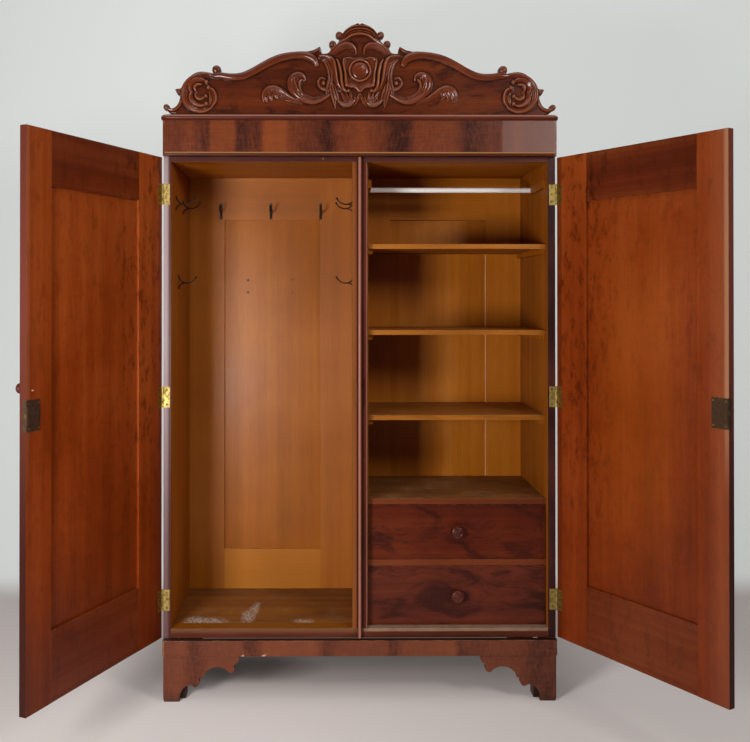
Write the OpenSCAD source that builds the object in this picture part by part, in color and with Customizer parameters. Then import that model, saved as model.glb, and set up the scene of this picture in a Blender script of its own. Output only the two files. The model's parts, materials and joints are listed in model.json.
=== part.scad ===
// Two-door wardrobe with a carved crest, a hanging bay, three shelves and two drawers.
// X runs to the right, Y to the back and Z up. The origin is on the floor under the
// middle of the case. The doors stand open and the drawers are shut.

/* [Case] */
// Width of the case over its sides
case_w = 1400; // [1200:10:1700]
// Depth of the case from its front edge to its back
case_d = 480; // [420:10:600]
// Height of the case from the plinth to the frieze
case_h = 1716; // [1600:10:1900]
// Thickness of the side boards
side_t = 27; // [22:1:34]
// Height of the rail under the floor of the case
bottom_rail_h = 33; // [26:1:50]
// Height of the rail over the ceiling of the case
top_rail_h = 18; // [14:1:30]
// Depth of the bottom rail, front to back
rail_d = 60; // [40:5:90]
// Thickness of the floor boards
floor_t = 20; // [12:1:26]
// Thickness of the framed rear wall
back_t = 22; // [18:1:30]
// Width of the stiles in the rear wall
back_stile_w = 142; // [100:1:180]
// Height of the upper rail in the rear wall
back_top_rail_h = 170; // [100:5:220]
// Height of the lower rail in the rear wall
back_bottom_rail_h = 194; // [120:2:260]

/* [Partition] */
// How far the partition reaches into the left bay from the middle
partition_left = 13; // [8:1:20]
// How far the partition reaches into the right bay from the middle
partition_right = 32; // [30:1:45]
// Width of the centre stile that covers its front edge
stile_w = 52; // [44:1:58]
// Thickness of the centre stile
stile_t = 22; // [18:1:30]
// Width of the bead between the closed doors
bead_w = 14; // [10:1:16]
// How far the bead stands out of the centre stile
bead_out = 18; // [16:1:24]

/* [Base] */
// Height of the bracket feet
foot_h = 160; // [150:1:190]
// Height of the plinth band
plinth_h = 56; // [40:1:80]
// Thickness of the plinth boards and the brackets
plinth_t = 24; // [18:1:30]
// How far the plinth and the frieze stand in front of the case
plinth_out = 28; // [27:1:40]
// How far the brackets stand back from the plinth
foot_inset = 4; // [2:1:8]
// Side of the square block inside each foot
foot_block = 52; // [40:1:60]

/* [Cornice] */
// Height of the veneered frieze
frieze_h = 126; // [90:1:160]
// Thickness of the frieze boards
frieze_t = 22; // [18:1:28]
// Height of the bead along the foot of the frieze
frieze_bead_h = 13; // [8:1:18]
// How far that bead stands out
frieze_bead_out = 3; // [2:0.5:5]
// Height of the half-round cornice moulding
cornice_h = 20; // [16:1:28]
// How far the cornice moulding stands out of the frieze
cornice_out = 8; // [5:1:10]
// Radius of the corners of the moulding in plan
cornice_corner_r = 18; // [14:1:24]
// Width of the moulding strip round the top board
cornice_strip_w = 20; // [16:1:24]

/* [Crest] */
// Height of the carved crest over the cornice
crest_h = 328; // [280:4:380]
// Thickness of the crest board
crest_t = 24; // [18:1:30]
// How far the crest stands back from the frieze face
crest_setback = 10; // [6:1:16]
// How far the crest ends short of the case at each side
crest_end = 1; // [0:1:20]
// Rise of the carving over the crest board, as a share of full relief
relief = 1; // [0.7:0.05:1.2]

/* [Doors] */
// Thickness of the doors
door_t = 24; // [22:1:26]
// Gap between the two closed doors
door_meeting = 20; // [18:1:24]
// Gap above and below the doors
door_clearance = 3; // [2:0.5:5]
// Gap between a closed door and the case
door_gap = 1; // [0.6:0.1:1.5]
// Width of the stile that carries the hinges
hinge_stile_w = 138; // [100:1:160]
// Width of the stile that carries the lock
lock_stile_w = 108; // [95:1:130]
// Height of the upper door rail
door_top_rail_h = 167; // [120:1:200]
// Height of the lower door rail
door_bottom_rail_h = 216; // [150:1:260]
// Width of the bevel round the field of each door panel
panel_bevel_w = 40; // [25:1:50]
// Depth of the door panel's field behind the inner face of the frame
panel_recess = 4; // [2:0.5:5]
// Thickness of the panel tongue in its groove
tongue_t = 7; // [5:0.5:8]
// Depth of the grooves that hold the panels
groove_d = 8; // [6:1:12]
// Width of the moulding round the outer face of the panel
door_moulding_w = 18; // [12:1:26]
// Angle at which the left door stands open
left_open = 114; // [60:1:125]
// Angle at which the right door stands open
right_open = 121; // [60:1:125]

/* [Hinges and locks] */
// Height of the butt hinges
hinge_h = 74; // [60:1:90]
// Width of a hinge leaf
leaf_w = 22; // [16:1:24]
// Thickness of a hinge leaf
leaf_t = 1.8; // [1.4:0.1:2.4]
// Outer diameter of the hinge knuckles
knuckle_d = 7; // [6:0.5:8]
// Diameter of the hinge pins
pin_d = 3.2; // [2.6:0.1:3.6]
// Radial clearance of the pins
pin_clearance = 0.05; // [0.03:0.01:0.08]
// Distance of the end hinges from the ends of the door
hinge_inset = 132; // [90:1:180]
// Height of the lock over the plinth
lock_z_over_plinth = 870; // [800:10:960]
// Width of the lock case
lock_w = 58; // [48:1:84]
// Height of the lock case
lock_h = 92; // [76:1:100]
// Depth to which the lock case is let into the door
lock_depth = 9; // [8:0.5:11]
// How far the lock case stands out of the door
lock_proud = 3; // [2:0.5:4]
// Length of the sliding bolt
bolt_l = 34; // [26:1:44]
// Height of the sliding bolt
bolt_h = 12; // [9:1:16]
// Thickness of the sliding bolt
bolt_t = 5; // [4:0.5:6]
// Height of the door knob over the plinth
door_knob_z_over_plinth = 947; // [930:1:1000]
// Distance of the door knob from the edge of the door
door_knob_edge = 30; // [24:1:50]
// Diameter of the door knob
door_knob_d = 32; // [26:1:44]

/* [Drawers and shelves] */
// How far the shelves and drawer fronts stand back from the case front
fitting_setback = 33; // [30:1:50]
// Thickness of the shelves
shelf_t = 17; // [14:1:24]
// Clear height between the drawer deck and the lower shelf
bay_1_h = 283; // [200:1:300]
// Clear height between the lower and the middle shelf
bay_2_h = 290; // [200:1:300]
// Clear height between the middle and the upper shelf
bay_3_h = 294; // [200:1:300]
// Thickness of the drawer deck
deck_t = 21; // [16:1:28]
// Height of the upper drawer opening
upper_opening_h = 198; // [140:1:210]
// Height of the lower drawer opening
lower_opening_h = 213; // [160:1:230]
// Height of the rail between the drawers
drawer_rail_h = 23; // [18:1:30]
// Gap round each drawer front
drawer_gap = 1.5; // [1:0.1:2.5]
// Running gap under the sides of a drawer
running_gap = 0.3; // [0.2:0.05:0.4]
// Thickness of a drawer front
drawer_front_t = 20; // [16:1:26]
// Thickness of the drawer sides
drawer_side_t = 12; // [9:1:16]
// Thickness of the drawer bottom
drawer_bottom_t = 6; // [4:1:9]
// Height of the drawer bottom over the lower edge of the sides
drawer_bottom_up = 8; // [6:1:14]
// Space left behind a shut drawer
drawer_rear_gap = 20; // [10:1:40]
// How much lower the drawer sides are than the front
drawer_side_drop = 10; // [6:1:20]
// Diameter of the drawer knobs
drawer_knob_d = 46; // [36:1:54]
// How far a drawer knob stands out
drawer_knob_l = 29; // [24:1:29]
// Side of the square battens under the shelves
batten = 18; // [14:1:24]
// Width of the drawer runners
runner_w = 25; // [18:1:34]

/* [Hanging] */
// Diameter of the hanging rod
rod_d = 19; // [16:1:26]
// Height of the rod under the ceiling
rod_drop = 75; // [60:1:110]
// Thickness of the battens that hold the rod
rod_batten_t = 12; // [10:1:18]
// Height of the battens that hold the rod
rod_batten_h = 30; // [28:1:40]
// Diameter of the wire of the coat hooks
wire_d = 3.6; // [3:0.2:5]
// How far the upper row of hooks hangs under the ceiling
hook_row_drop = 164; // [130:2:300]
// How far the lower hooks of the side walls hang under the ceiling
hook_low_drop = 453; // [400:1:600]

/* [Hidden] */
$fn = 48;

// Colours
mahogany = "#7a2e18";
dark_mahogany = "#4e1c12";
door_red = "#98401c";
ochre = "#b0702c";
pale_wood = "#b98a52";
brass = "#c8a24a";
iron = "#2c2622";
white_paint = "#e6e2d8";

// Main levels and planes
front = -case_d / 2;
back = case_d / 2;
half_w = case_w / 2;
inner_x = half_w - side_t;
back_front = back - back_t;
base_top = foot_h + plinth_h;
floor_z = base_top + bottom_rail_h;
case_top_z = base_top + case_h;
ceiling_z = case_top_z - top_rail_h;
proud_y = front - plinth_out;
frieze_top = case_top_z + frieze_h;
cornice_top = frieze_top + cornice_h;
fitting_y = front + fitting_setback;
bay_w = inner_x - partition_right;
bay_mid = (inner_x + partition_right) / 2;
corner_r = 8;

// Doors
door_w = half_w - door_meeting / 2;
door_z0 = base_top + door_clearance;
door_z1 = case_top_z - door_clearance;
door_h = door_z1 - door_z0;
door_in_y = front - door_gap;
panel_z0 = door_z0 + door_bottom_rail_h;
panel_z1 = door_z1 - door_top_rail_h;
panel_u1 = door_w - lock_stile_w;
tongue_out_t = door_t - 7;
tongue_in_t = tongue_out_t - tongue_t;
pin_x = half_w + knuckle_d / 2;
pin_y = front - door_gap / 2;
lock_z = base_top + lock_z_over_plinth;
lock_plate_t = 2;
lock_plate_in = 13;
bolt_slack = 0.3;
bolt_in_t = 0.8;
mortise_slack = 1.5;
hinge_levels = [
    door_z0 + hinge_inset,
    (door_z0 + door_z1) / 2,
    door_z1 - hinge_inset
];

// Shelves and drawers
lower_top_z = floor_z + lower_opening_h;
upper_z = lower_top_z + drawer_rail_h;
deck_z = upper_z + upper_opening_h;
deck_top = deck_z + deck_t;
shelf_levels = [
    deck_top + bay_1_h,
    deck_top + bay_1_h + shelf_t + bay_2_h,
    deck_top + bay_1_h + bay_2_h + 2 * shelf_t + bay_3_h
];
rod_z = ceiling_z - rod_drop;

// Curves: a smooth run through hand-set points, and an arc as a list of points
function between(a, b, c, d, t) =
    0.5 * (2 * b + (c - a) * t + (2 * a - 5 * b + 4 * c - d) * t * t
        + (3 * b - a - 3 * c + d) * t * t * t);
function smooth(points, steps = 3) = [
    for (i = [0 : len(points) - 2])
        for (k = [0 : steps - 1])
            between(points[max(i - 1, 0)], points[i], points[i + 1],
                points[min(i + 2, len(points) - 1)], k / steps),
    points[len(points) - 1]
];
function arc(cx, cy, r, a0, a1, steps = 8) = [
    for (i = [0 : steps])
        let (a = a0 + (a1 - a0) * i / steps)
        [cx + r * cos(a), cy + r * sin(a)]
];

// A block between two corners
module block(low, high) {
    translate(low) cube(high - low);
}

// Frame and panel work, shared by the doors and the rear wall. It lies in X and Z with
// its first face at y = 0 and its second at y = t.
module grooved_stile(w, h, t, groove_y, tongue, groove_left) {
    difference() {
        cube([w, t, h]);
        translate([groove_left ? -1 : w - groove_d, groove_y, -1])
            cube([groove_d + 1, tongue, h + 2]);
    }
}

// A rail has stub tongues at its ends, which fill the grooves of the stiles
module grooved_rail(w, h, t, groove_y, tongue, groove_below) {
    difference() {
        cube([w, t, h]);
        translate([-1, groove_y, groove_below ? -1 : h - groove_d])
            cube([w + 2, tongue, groove_d + 1]);
    }
    for (x = [-groove_d, w])
        translate([x, groove_y, groove_below ? groove_d : 0])
            cube([groove_d, tongue, h - groove_d]);
}

// A fielded panel: the tongue runs all round at its full width and the field rises
// through a bevel towards face y = 0
module fielded_panel(w, h, field_y, tongue_y, tongue, bevel) {
    edge = groove_d - 1;
    section = [
        [-edge, tongue_y + tongue], [-edge, tongue_y], [0, tongue_y], [bevel, field_y]
    ];
    function both(span) = concat(section,
        [for (i = [3 : -1 : 0]) [span - section[i][0], section[i][1]]]);
    intersection() {
        translate([0, 0, -edge]) linear_extrude(h + 2 * edge) polygon(both(w));
        translate([-edge, 0, 0]) rotate([90, 0, 90]) linear_extrude(w + 2 * edge)
            polygon([for (p = both(h)) [p[1], p[0]]]);
    }
}

// Four mitred strips inside a rectangle w by h. The 2D child is the strip's section,
// with x measured in from the edge of the rectangle and y the height of the face.
module mitred_strips(w, h, strip) {
    module side(length) {
        intersection() {
            rotate([90, 0, 90]) linear_extrude(length) children();
            linear_extrude(strip * 4, center = true)
                polygon([[0, 0], [length, 0], [length - strip, strip], [strip, strip]]);
        }
    }
    side(w) children();
    translate([w, h, 0]) rotate(180) side(w) children();
    translate([w, 0, 0]) rotate(90) side(h) children();
    translate([0, h, 0]) rotate(-90) side(h) children();
}

// Base
module rounded_board(length, t, h, r) {
    linear_extrude(h) union() {
        translate([-length / 2, r]) square([length, t - r]);
        translate([r - length / 2, 0]) square([length - 2 * r, t]);
        for (s = [-1, 1])
            translate([s * (length / 2 - r), r]) circle(r);
    }
}

module plinth_front() {
    color(mahogany) translate([0, proud_y, foot_h])
        rounded_board(case_w, plinth_t, plinth_h, corner_r);
}

module board_frame(z, t, h) {
    for (s = [-1, 1])
        block([min(s * half_w, s * (half_w - t)), proud_y + t, z],
            [max(s * half_w, s * (half_w - t)), back, z + h]);
    block([t - half_w, back - t, z], [half_w - t, back, z + h]);
}

module plinth_frame() {
    color(mahogany) board_frame(foot_h, plinth_t, plinth_h);
}

// Shaped bracket: x runs in from the outer edge and y is the height, at the size of a foot
// 160 high. Both forms begin with the leg, its hollow curve and a lobe. The long form goes
// on with an arch and a second lobe under the plinth, and the short form stops at the top
// of its arch.
bracket_h = 160;
leg = concat(
    [[0, bracket_h], [0, 12], [3, 0], [58, 0]],
    arc(104, 14, 46, 180, 104),
    arc(113, 67, 15, 218, 385),
    [[126, 82]]
);
arch_x = 190;
arch_z = 69;
arch_r = 53;
long_bracket = concat(
    leg,
    arc(arch_x, arch_z, arch_r, 166, 54),
    arc(238, 115, 14, 190, 380),
    [[250, 128]],
    arc(250, 150, 18, -60, 0, 4),
    [[268, bracket_h]]
);
short_bracket = concat(
    leg,
    arc(arch_x, arch_z, arch_r, 166, 90),
    [[arch_x, bracket_h]]
);

module upright(outline, t) {
    translate([0, t, 0]) rotate([90, 0, 0]) linear_extrude(t)
        polygon(outline * foot_h / bracket_h);
}

// Left feet in place; the right feet mirror them
module front_foot() {
    outer_y = proud_y + foot_inset;
    translate([foot_inset - half_w, outer_y, 0]) {
        upright(long_bracket, plinth_t);
        difference() {
            translate([plinth_t, 0, 0]) rotate(90) upright(short_bracket, plinth_t);
            translate([-1, -1, -1]) cube([plinth_t + 2, plinth_t + 1, foot_h + 2]);
        }
        translate([plinth_t, plinth_t, 2]) cube([foot_block, foot_block, foot_h - 2]);
    }
}

module rear_foot() {
    translate([foot_inset - half_w, back, 0]) {
        rotate(-90) upright(short_bracket, plinth_t);
        translate([plinth_t, -foot_block, 0]) cube([foot_block, foot_block, foot_h]);
    }
}

module foot_front_left() {
    color(mahogany) front_foot();
}

module foot_front_right() {
    color(mahogany) mirror([1, 0, 0]) front_foot();
}

module foot_back_left() {
    color(dark_mahogany) rear_foot();
}

module foot_back_right() {
    color(dark_mahogany) mirror([1, 0, 0]) rear_foot();
}

// Case
module left_side() {
    difference() {
        block([-half_w, front, base_top], [-inner_x, back, case_top_z]);
        for (z = hinge_levels) {
            block([-half_w - 1, front - 1, z - hinge_h / 2],
                [leaf_w - half_w, front + leaf_t, z + hinge_h / 2]);
            hinge_bore(z, knuckle_d + 2 * knuckle_room);
        }
    }
}

module side_left() {
    color(ochre) left_side();
}

module side_right() {
    color(ochre) mirror([1, 0, 0]) left_side();
}

module case_bottom() {
    color(ochre) block([-inner_x, front + rail_d, floor_z - floor_t],
        [inner_x, back_front, floor_z]);
}

module case_top() {
    color(ochre) block([-inner_x, front, ceiling_z], [inner_x, back, case_top_z]);
}

module bottom_rail() {
    color(dark_mahogany) block([-inner_x, front, base_top], [inner_x, front + rail_d, floor_z]);
}

module partition() {
    color(ochre) difference() {
        block([-partition_left, front + stile_t, floor_z],
            [partition_right, back_front, ceiling_z]);
        block([stile_w / 2, front, floor_z - 1], [partition_right + 1, fitting_y, ceiling_z + 1]);
    }
}

// Centre stile with the half-round bead that the doors close against, the recesses for
// the lock cases and the mortise for the two bolts
module centre_stile() {
    bead_r = bead_w / 2;
    recess_h = lock_h + 4;
    recess_depth = lock_proud + 2;
    color(dark_mahogany) difference() {
        union() {
            block([-stile_w / 2, front, floor_z], [stile_w / 2, front + stile_t, ceiling_z]);
            translate([0, front, door_z0]) linear_extrude(door_h) union() {
                translate([-bead_r, bead_r - bead_out]) square([bead_w, bead_out - bead_r]);
                translate([0, bead_r - bead_out]) circle(bead_r);
            }
        }
        for (s = [0, 1]) mirror([s, 0, 0])
            block([bead_r + 1, front - 1, lock_z - recess_h / 2],
                [stile_w / 2 + 1, front + recess_depth, lock_z + recess_h / 2]);
        translate([0, door_in_y - bolt_in_t - bolt_t / 2, lock_z])
            cube([bead_w + 2, bolt_t + 2 * mortise_slack, bolt_h + 2 * mortise_slack],
                center = true);
    }
}

// One half of the rear wall: two stiles, two rails and a fielded panel
module back_half() {
    opening_w = inner_x - 2 * back_stile_w;
    wall_h = ceiling_z - base_top;
    opening_h = wall_h - back_top_rail_h - back_bottom_rail_h;
    groove_y = 10;
    translate([-inner_x, back_front, base_top]) {
        grooved_stile(back_stile_w, wall_h, back_t, groove_y, tongue_t, false);
        translate([inner_x - back_stile_w, 0, 0])
            grooved_stile(back_stile_w, wall_h, back_t, groove_y, tongue_t, true);
        translate([back_stile_w, 0, 0])
            grooved_rail(opening_w, back_bottom_rail_h, back_t, groove_y, tongue_t, false);
        translate([back_stile_w, 0, wall_h - back_top_rail_h])
            grooved_rail(opening_w, back_top_rail_h, back_t, groove_y, tongue_t, true);
        translate([back_stile_w, 0, back_bottom_rail_h])
            fielded_panel(opening_w, opening_h, groove_y - 4, groove_y, tongue_t, 30);
    }
}

module back_left() {
    color(ochre) back_half();
}

module back_right() {
    color(ochre) mirror([1, 0, 0]) back_half();
}

// Cornice
module frieze_front() {
    color(dark_mahogany) translate([0, proud_y, case_top_z])
        rounded_board(case_w, frieze_t, frieze_h, corner_r);
}

module frieze_frame() {
    color(dark_mahogany) board_frame(case_top_z, frieze_t, frieze_h);
}

module frieze_bead() {
    length = case_w - 2 * corner_r;
    r = (frieze_bead_h * frieze_bead_h / 4 + frieze_bead_out * frieze_bead_out)
        / (2 * frieze_bead_out);
    color(mahogany) intersection() {
        translate([-length / 2, proud_y + r - frieze_bead_out, case_top_z + frieze_bead_h / 2])
            rotate([0, 90, 0]) cylinder(r = r, h = length);
        block([-length / 2, proud_y - frieze_bead_out, case_top_z],
            [length / 2, proud_y, case_top_z + frieze_bead_h]);
    }
}

// The moulding runs along the front and both sides of the top board: a strip with a
// half-round edge that turns the two front corners
module cornice_moulding() {
    r = cornice_h / 2;
    turn = cornice_corner_r;
    edge = half_w + cornice_out - r;
    edge_y = proud_y - cornice_out + r;
    inner = half_w + cornice_out - cornice_strip_w;
    color(mahogany) translate([0, edge_y, frieze_top]) difference() {
        union() {
            rounded_board(2 * edge, back - edge_y, cornice_h, turn);
            translate([turn - edge, 0, r]) rotate([0, 90, 0])
                cylinder(r = r, h = 2 * (edge - turn));
            for (s = [0, 1]) mirror([s, 0, 0]) {
                translate([edge, turn, r]) rotate([-90, 0, 0])
                    cylinder(r = r, h = back - edge_y - turn);
                translate([edge - turn, turn, r]) rotate(-90)
                    rotate_extrude(angle = 90) translate([turn, 0]) circle(r);
            }
        }
        block([-inner, cornice_strip_w - r, -1], [inner, case_d * 2, cornice_h + 1]);
    }
}

module cornice_board() {
    inner = half_w + cornice_out - cornice_strip_w;
    color(pale_wood) block([-inner, proud_y - cornice_out + cornice_strip_w, frieze_top],
        [inner, back, cornice_top]);
}

// Crest. Its outline and carving are drawn for one half, u out from the middle and v up
// from the cornice, at the size of a crest 1398 wide and 328 high.
crest_ku = (case_w - 2 * crest_end) / 1398;
crest_kv = crest_h / 328;
crest_k = min(crest_ku, crest_kv);
crest_face = proud_y + crest_setback;
curl_balls = [[688, 28, 11], [510, 161, 16], [97, 253, 13], [74, 286, 12.5]];
half_outline = concat(
    smooth([[620, 0], [664, 3], [682, 12], [690, 24]]),
    smooth([[680, 28], [669, 23], [656, 28], [646, 42], [640, 58], [639, 68]]),
    smooth([[647, 72], [654, 83], [657, 92]]),
    smooth([[646, 94], [636, 97], [625, 115], [609, 134], [588, 149], [565, 155],
        [542, 153], [524, 149]]),
    smooth([[495, 152], [470, 148], [441, 148], [419, 153], [394, 164], [362, 181],
        [331, 198], [299, 212], [267, 220], [223, 225], [185, 228], [163, 232], [142, 245]]),
    smooth([[137, 232], [135, 220], [122, 218], [109, 223], [101, 240]]),
    smooth([[86, 246], [78, 257], [73, 272]]),
    smooth([[62, 290], [50, 305], [34, 316], [15, 323], [6, 328]]),
    [[0, 322]]
);

module crest_half_plan() {
    polygon([for (p = concat([[0, 0]], half_outline)) [p[0] * crest_ku, p[1] * crest_kv]]);
    for (b = curl_balls)
        translate([b[0] * crest_ku, b[1] * crest_kv]) circle(b[2] * crest_k, $fn = 32);
}

// A round bud on each curl of the outline
module curl_buds() {
    bud = 0.6;
    for (b = curl_balls)
        let (r = b[2] * crest_k)
            translate([b[0] * crest_ku, 0, b[1] * crest_kv]) intersection() {
                sphere(r * bud, $fn = 32);
                translate([0, -r, 0]) cube(2 * r, center = true);
            }
}

module crest_board() {
    color(mahogany) translate([0, crest_face, cornice_top]) {
        translate([0, crest_t, 0]) rotate([90, 0, 0]) linear_extrude(crest_t) union() {
            crest_half_plan();
            mirror([1, 0]) crest_half_plan();
        }
        for (s = [0, 1]) mirror([s, 0, 0]) curl_buds();
    }
}

// Sections of the carving from its left edge to its right, as shares of its half width and
// height: a round one, a leaf with a vein, and a leaf with a hollow behind its lip
round_section = [for (q = [0 : 36 : 180]) [cos(q), sin(q)]];
leaf_section = [[1, 0], [0.6, 0.9], [0, 0.62], [-0.6, 0.9], [-1, 0]];
lip_section = [[1, 0], [0.35, 0.36], [-0.05, 0.8], [-0.4, 1], [-0.8, 0.72], [-1, 0]];

// One carved run on the face of the crest: a section along a smooth run of stations
// [u, v, half width, height]
function carved_rings(section, stations) =
    let (run = smooth([for (s = stations)
        [s[0] * crest_ku, s[1] * crest_kv, s[2] * crest_k, s[3] * crest_k * relief]], 2))
    [
        for (i = [0 : len(run) - 1])
            let (
                a = run[max(i - 1, 0)],
                b = run[min(i + 1, len(run) - 1)],
                along = [b[0] - a[0], b[1] - a[1]] / norm([b[0] - a[0], b[1] - a[1]]),
                p = run[i]
            )
            [
                for (q = section)
                    [p[0] - along[1] * p[2] * q[0], -p[3] * q[1], p[1] + along[0] * p[2] * q[0]]
            ]
    ];

module carved_run(section, stations) {
    rings = carved_rings(section, stations);
    count = len(rings);
    per = len(section);
    function at(i, k) = i * per + k % per;
    polyhedron(
        [for (ring = rings) for (p = ring) p],
        concat(
            [for (i = [0 : count - 2]) for (k = [0 : per - 1])
                [at(i, k), at(i + 1, k), at(i + 1, k + 1)]],
            [for (i = [0 : count - 2]) for (k = [0 : per - 1])
                [at(i, k), at(i + 1, k + 1), at(i, k + 1)]],
            [[for (k = [0 : per - 1]) k]],
            [[for (k = [per - 1 : -1 : 0]) at(count - 1, k)]]
        )
    );
}

module carving(runs) {
    color(mahogany) translate([0, crest_face, cornice_top])
        for (s = [0, 1]) mirror([s, 0, 0])
            for (run = runs) carved_run(run[0], run[1]);
}

// Roll moulding under the upper edge of the crest, and the leaf tip over its bulb
roll_runs = [
    // Roll from the end scroll to its bulb
    [round_section, [[522, 139, 9, 8], [500, 139, 12, 11], [468, 135, 13, 12],
        [440, 134, 13, 13], [410, 139, 14, 13], [380, 153, 14, 13], [350, 170, 14, 14],
        [315, 187, 14, 14], [280, 200, 14, 14], [240, 208, 14, 15], [205, 210, 14, 15],
        [181, 206, 13, 15], [165, 194, 11, 14], [156, 179, 8, 10]]],
    // Leaf tip over the bulb
    [leaf_section, [[176, 225, 3, 5], [160, 229, 4, 8], [147, 237, 3, 5]]]
];

module crest_roll() {
    carving(roll_runs);
}

// Leaf scrolls round the shield and the shell over it
scroll_runs = [
    // Outer leaf that rolls over at its tip, and its tongues
    [lip_section, [[341, 48, 4, 5], [341, 66, 9, 9], [331, 81, 12, 12], [311, 89, 14, 14],
        [290, 84, 14, 13], [270, 72, 13, 12], [250, 60, 11, 11], [230, 51, 9, 10],
        [208, 45, 8, 8]]],
    [leaf_section, [[321, 46, 3, 4], [323, 60, 6, 8], [318, 72, 6, 9]]],
    [leaf_section, [[303, 50, 3, 4], [306, 62, 6, 8], [302, 72, 6, 9]]],
    [leaf_section, [[286, 54, 3, 4], [288, 63, 5, 7], [284, 70, 5, 8]]],
    // C-scroll: a stem that widens to a broad leaf and turns over at its head
    [lip_section, [[106, 74, 6, 7], [124, 64, 9, 10], [146, 54, 12, 12], [168, 50, 14, 13],
        [192, 55, 15, 14], [212, 67, 17, 16], [227, 85, 18, 17], [234, 105, 17, 17],
        [232, 124, 14, 16], [220, 136, 10, 14], [207, 133, 6, 11]]],
    [round_section, [[206, 121, 4, 8], [213, 113, 5, 11], [212, 99, 5, 12], [204, 84, 5, 11],
        [192, 73, 4, 8]]],
    // Leaf curl inside the C-scroll, and its pearl
    [lip_section, [[98, 84, 5, 7], [112, 87, 7, 9], [128, 92, 8, 10], [140, 102, 8, 10],
        [144, 116, 6, 10], [137, 127, 4, 8]]],
    // Stem beside the shield: a leaf folded over at its head, and its strands
    [lip_section, [[140, 208, 5, 7], [126, 205, 8, 12], [110, 197, 11, 15], [100, 183, 12, 17],
        [94, 163, 12, 17], [90, 139, 11, 16], [86, 118, 10, 14], [79, 102, 8, 11],
        [72, 92, 5, 8]]],
    [leaf_section, [[131, 194, 3, 7], [120, 184, 7, 11], [113, 168, 9, 13], [109, 148, 9, 13],
        [108, 128, 9, 13], [111, 108, 9, 13], [115, 88, 8, 11], [118, 64, 3, 6]]],
    [leaf_section, [[102, 120, 5, 11], [102, 104, 9, 14], [99, 84, 10, 14], [93, 60, 9, 12],
        [89, 40, 6, 9], [88, 27, 2, 4]]],
    [leaf_section, [[90, 100, 5, 10], [87, 84, 7, 12], [82, 64, 7, 11], [76, 48, 4, 7]]],
    // Bowl under the shield with its tongues
    [lip_section, [[17, 64, 4, 7], [22, 50, 7, 10], [34, 40, 9, 12], [52, 38, 9, 12],
        [67, 46, 8, 11], [76, 57, 5, 8]]],
    [leaf_section, [[62, 74, 3, 5], [56, 62, 5, 9], [50, 52, 5, 10]]],
    [leaf_section, [[46, 73, 3, 5], [43, 61, 5, 9], [40, 51, 5, 10]]],
    [leaf_section, [[33, 78, 3, 5], [32, 65, 5, 9], [31, 54, 5, 9]]],
    [leaf_section, [[5, 73, 4, 8], [9, 58, 6, 11], [17, 44, 6, 10], [25, 30, 2, 5]]],
    // Outer frame of the shield, which ends in a small curl
    [round_section, [[82, 197, 4, 9], [77, 184, 5, 13], [73, 166, 5, 14], [69, 144, 5, 14],
        [67, 118, 5, 14], [62, 98, 6, 14], [52, 87, 5, 13], [41, 84, 4, 10]]],
    // Shoulder leaf over the shield: its outer edge, and the fold that turns down
    [lip_section, [[121, 206, 4, 5], [109, 213, 5, 11], [94, 225, 8, 13], [76, 244, 8, 14],
        [62, 258, 6, 12]]],
    [lip_section, [[107, 199, 4, 6], [88, 215, 8, 12], [70, 232, 11, 16], [52, 240, 12, 17],
        [35, 240, 10, 16], [23, 232, 7, 14], [17, 220, 4, 9]]],
    // Two arches of the shell
    [lip_section, [[60, 262, 4, 8], [48, 274, 6, 11], [32, 283, 7, 13], [15, 288, 7, 14],
        [-3, 289, 7, 14]]],
    [round_section, [[62, 276, 4, 8], [50, 292, 7, 12], [34, 303, 8, 14], [16, 309, 9, 15],
        [-3, 310, 9, 15]]]
];

module crest_scrolls() {
    carving(scroll_runs);
}

// End ornament: an outer scroll, nested crescents and the tail curl
corner_runs = [
    // Outer scroll
    [lip_section, [[529, 30, 5, 7], [542, 20, 7, 10], [562, 16, 10, 12], [585, 20, 12, 14],
        [605, 34, 14, 15], [618, 55, 14, 16], [621, 80, 14, 16], [614, 103, 14, 16],
        [597, 121, 14, 16], [576, 133, 12, 15], [555, 139, 9, 12], [538, 141, 6, 9]]],
    // Nested crescents
    [lip_section, [[597, 76, 6, 10], [599, 92, 8, 13], [592, 105, 9, 15], [578, 112, 8, 14],
        [562, 112, 5, 10]]],
    [lip_section, [[551, 40, 5, 9], [566, 37, 8, 12], [581, 43, 9, 15], [589, 55, 8, 14],
        [588, 68, 5, 10]]],
    [round_section, [[554, 66, 5, 10], [565, 62, 6, 12], [574, 68, 5, 11], [575, 79, 4, 9]]],
    [lip_section, [[541, 94, 5, 9], [527, 88, 8, 12], [519, 70, 9, 13], [519, 50, 8, 12],
        [527, 38, 5, 8]]],
    [leaf_section, [[537, 76, 4, 8], [534, 62, 5, 10], [534, 48, 5, 10], [538, 38, 3, 6]]],
    // Tail that ends in the outer curl, and the leaf above it
    [round_section, [[634, 56, 5, 7], [637, 42, 6, 9], [646, 26, 6, 9], [661, 15, 6, 9],
        [675, 17, 5, 8]]],
    [leaf_section, [[634, 84, 5, 8], [643, 86, 6, 10], [653, 91, 3, 5]]]
];

module crest_corners() {
    carving(corner_runs);
}

// Shield with a sunk field and a round boss
shield_half = concat(
    [[0, 206]],
    smooth([[20, 204], [38, 207], [56, 200], [62, 184], [59, 155], [57, 130], [52, 109],
        [40, 101], [25, 99], [12, 95], [0, 84]])
);
boss_v = 157;
boss_r = 41;

module shield_plan(k) {
    points = [
        for (p = shield_half)
            [p[0] * crest_ku * k, (boss_v + (p[1] - boss_v) * k) * crest_kv]
    ];
    union() {
        polygon(points);
        mirror([1, 0]) polygon(points);
    }
}

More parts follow.
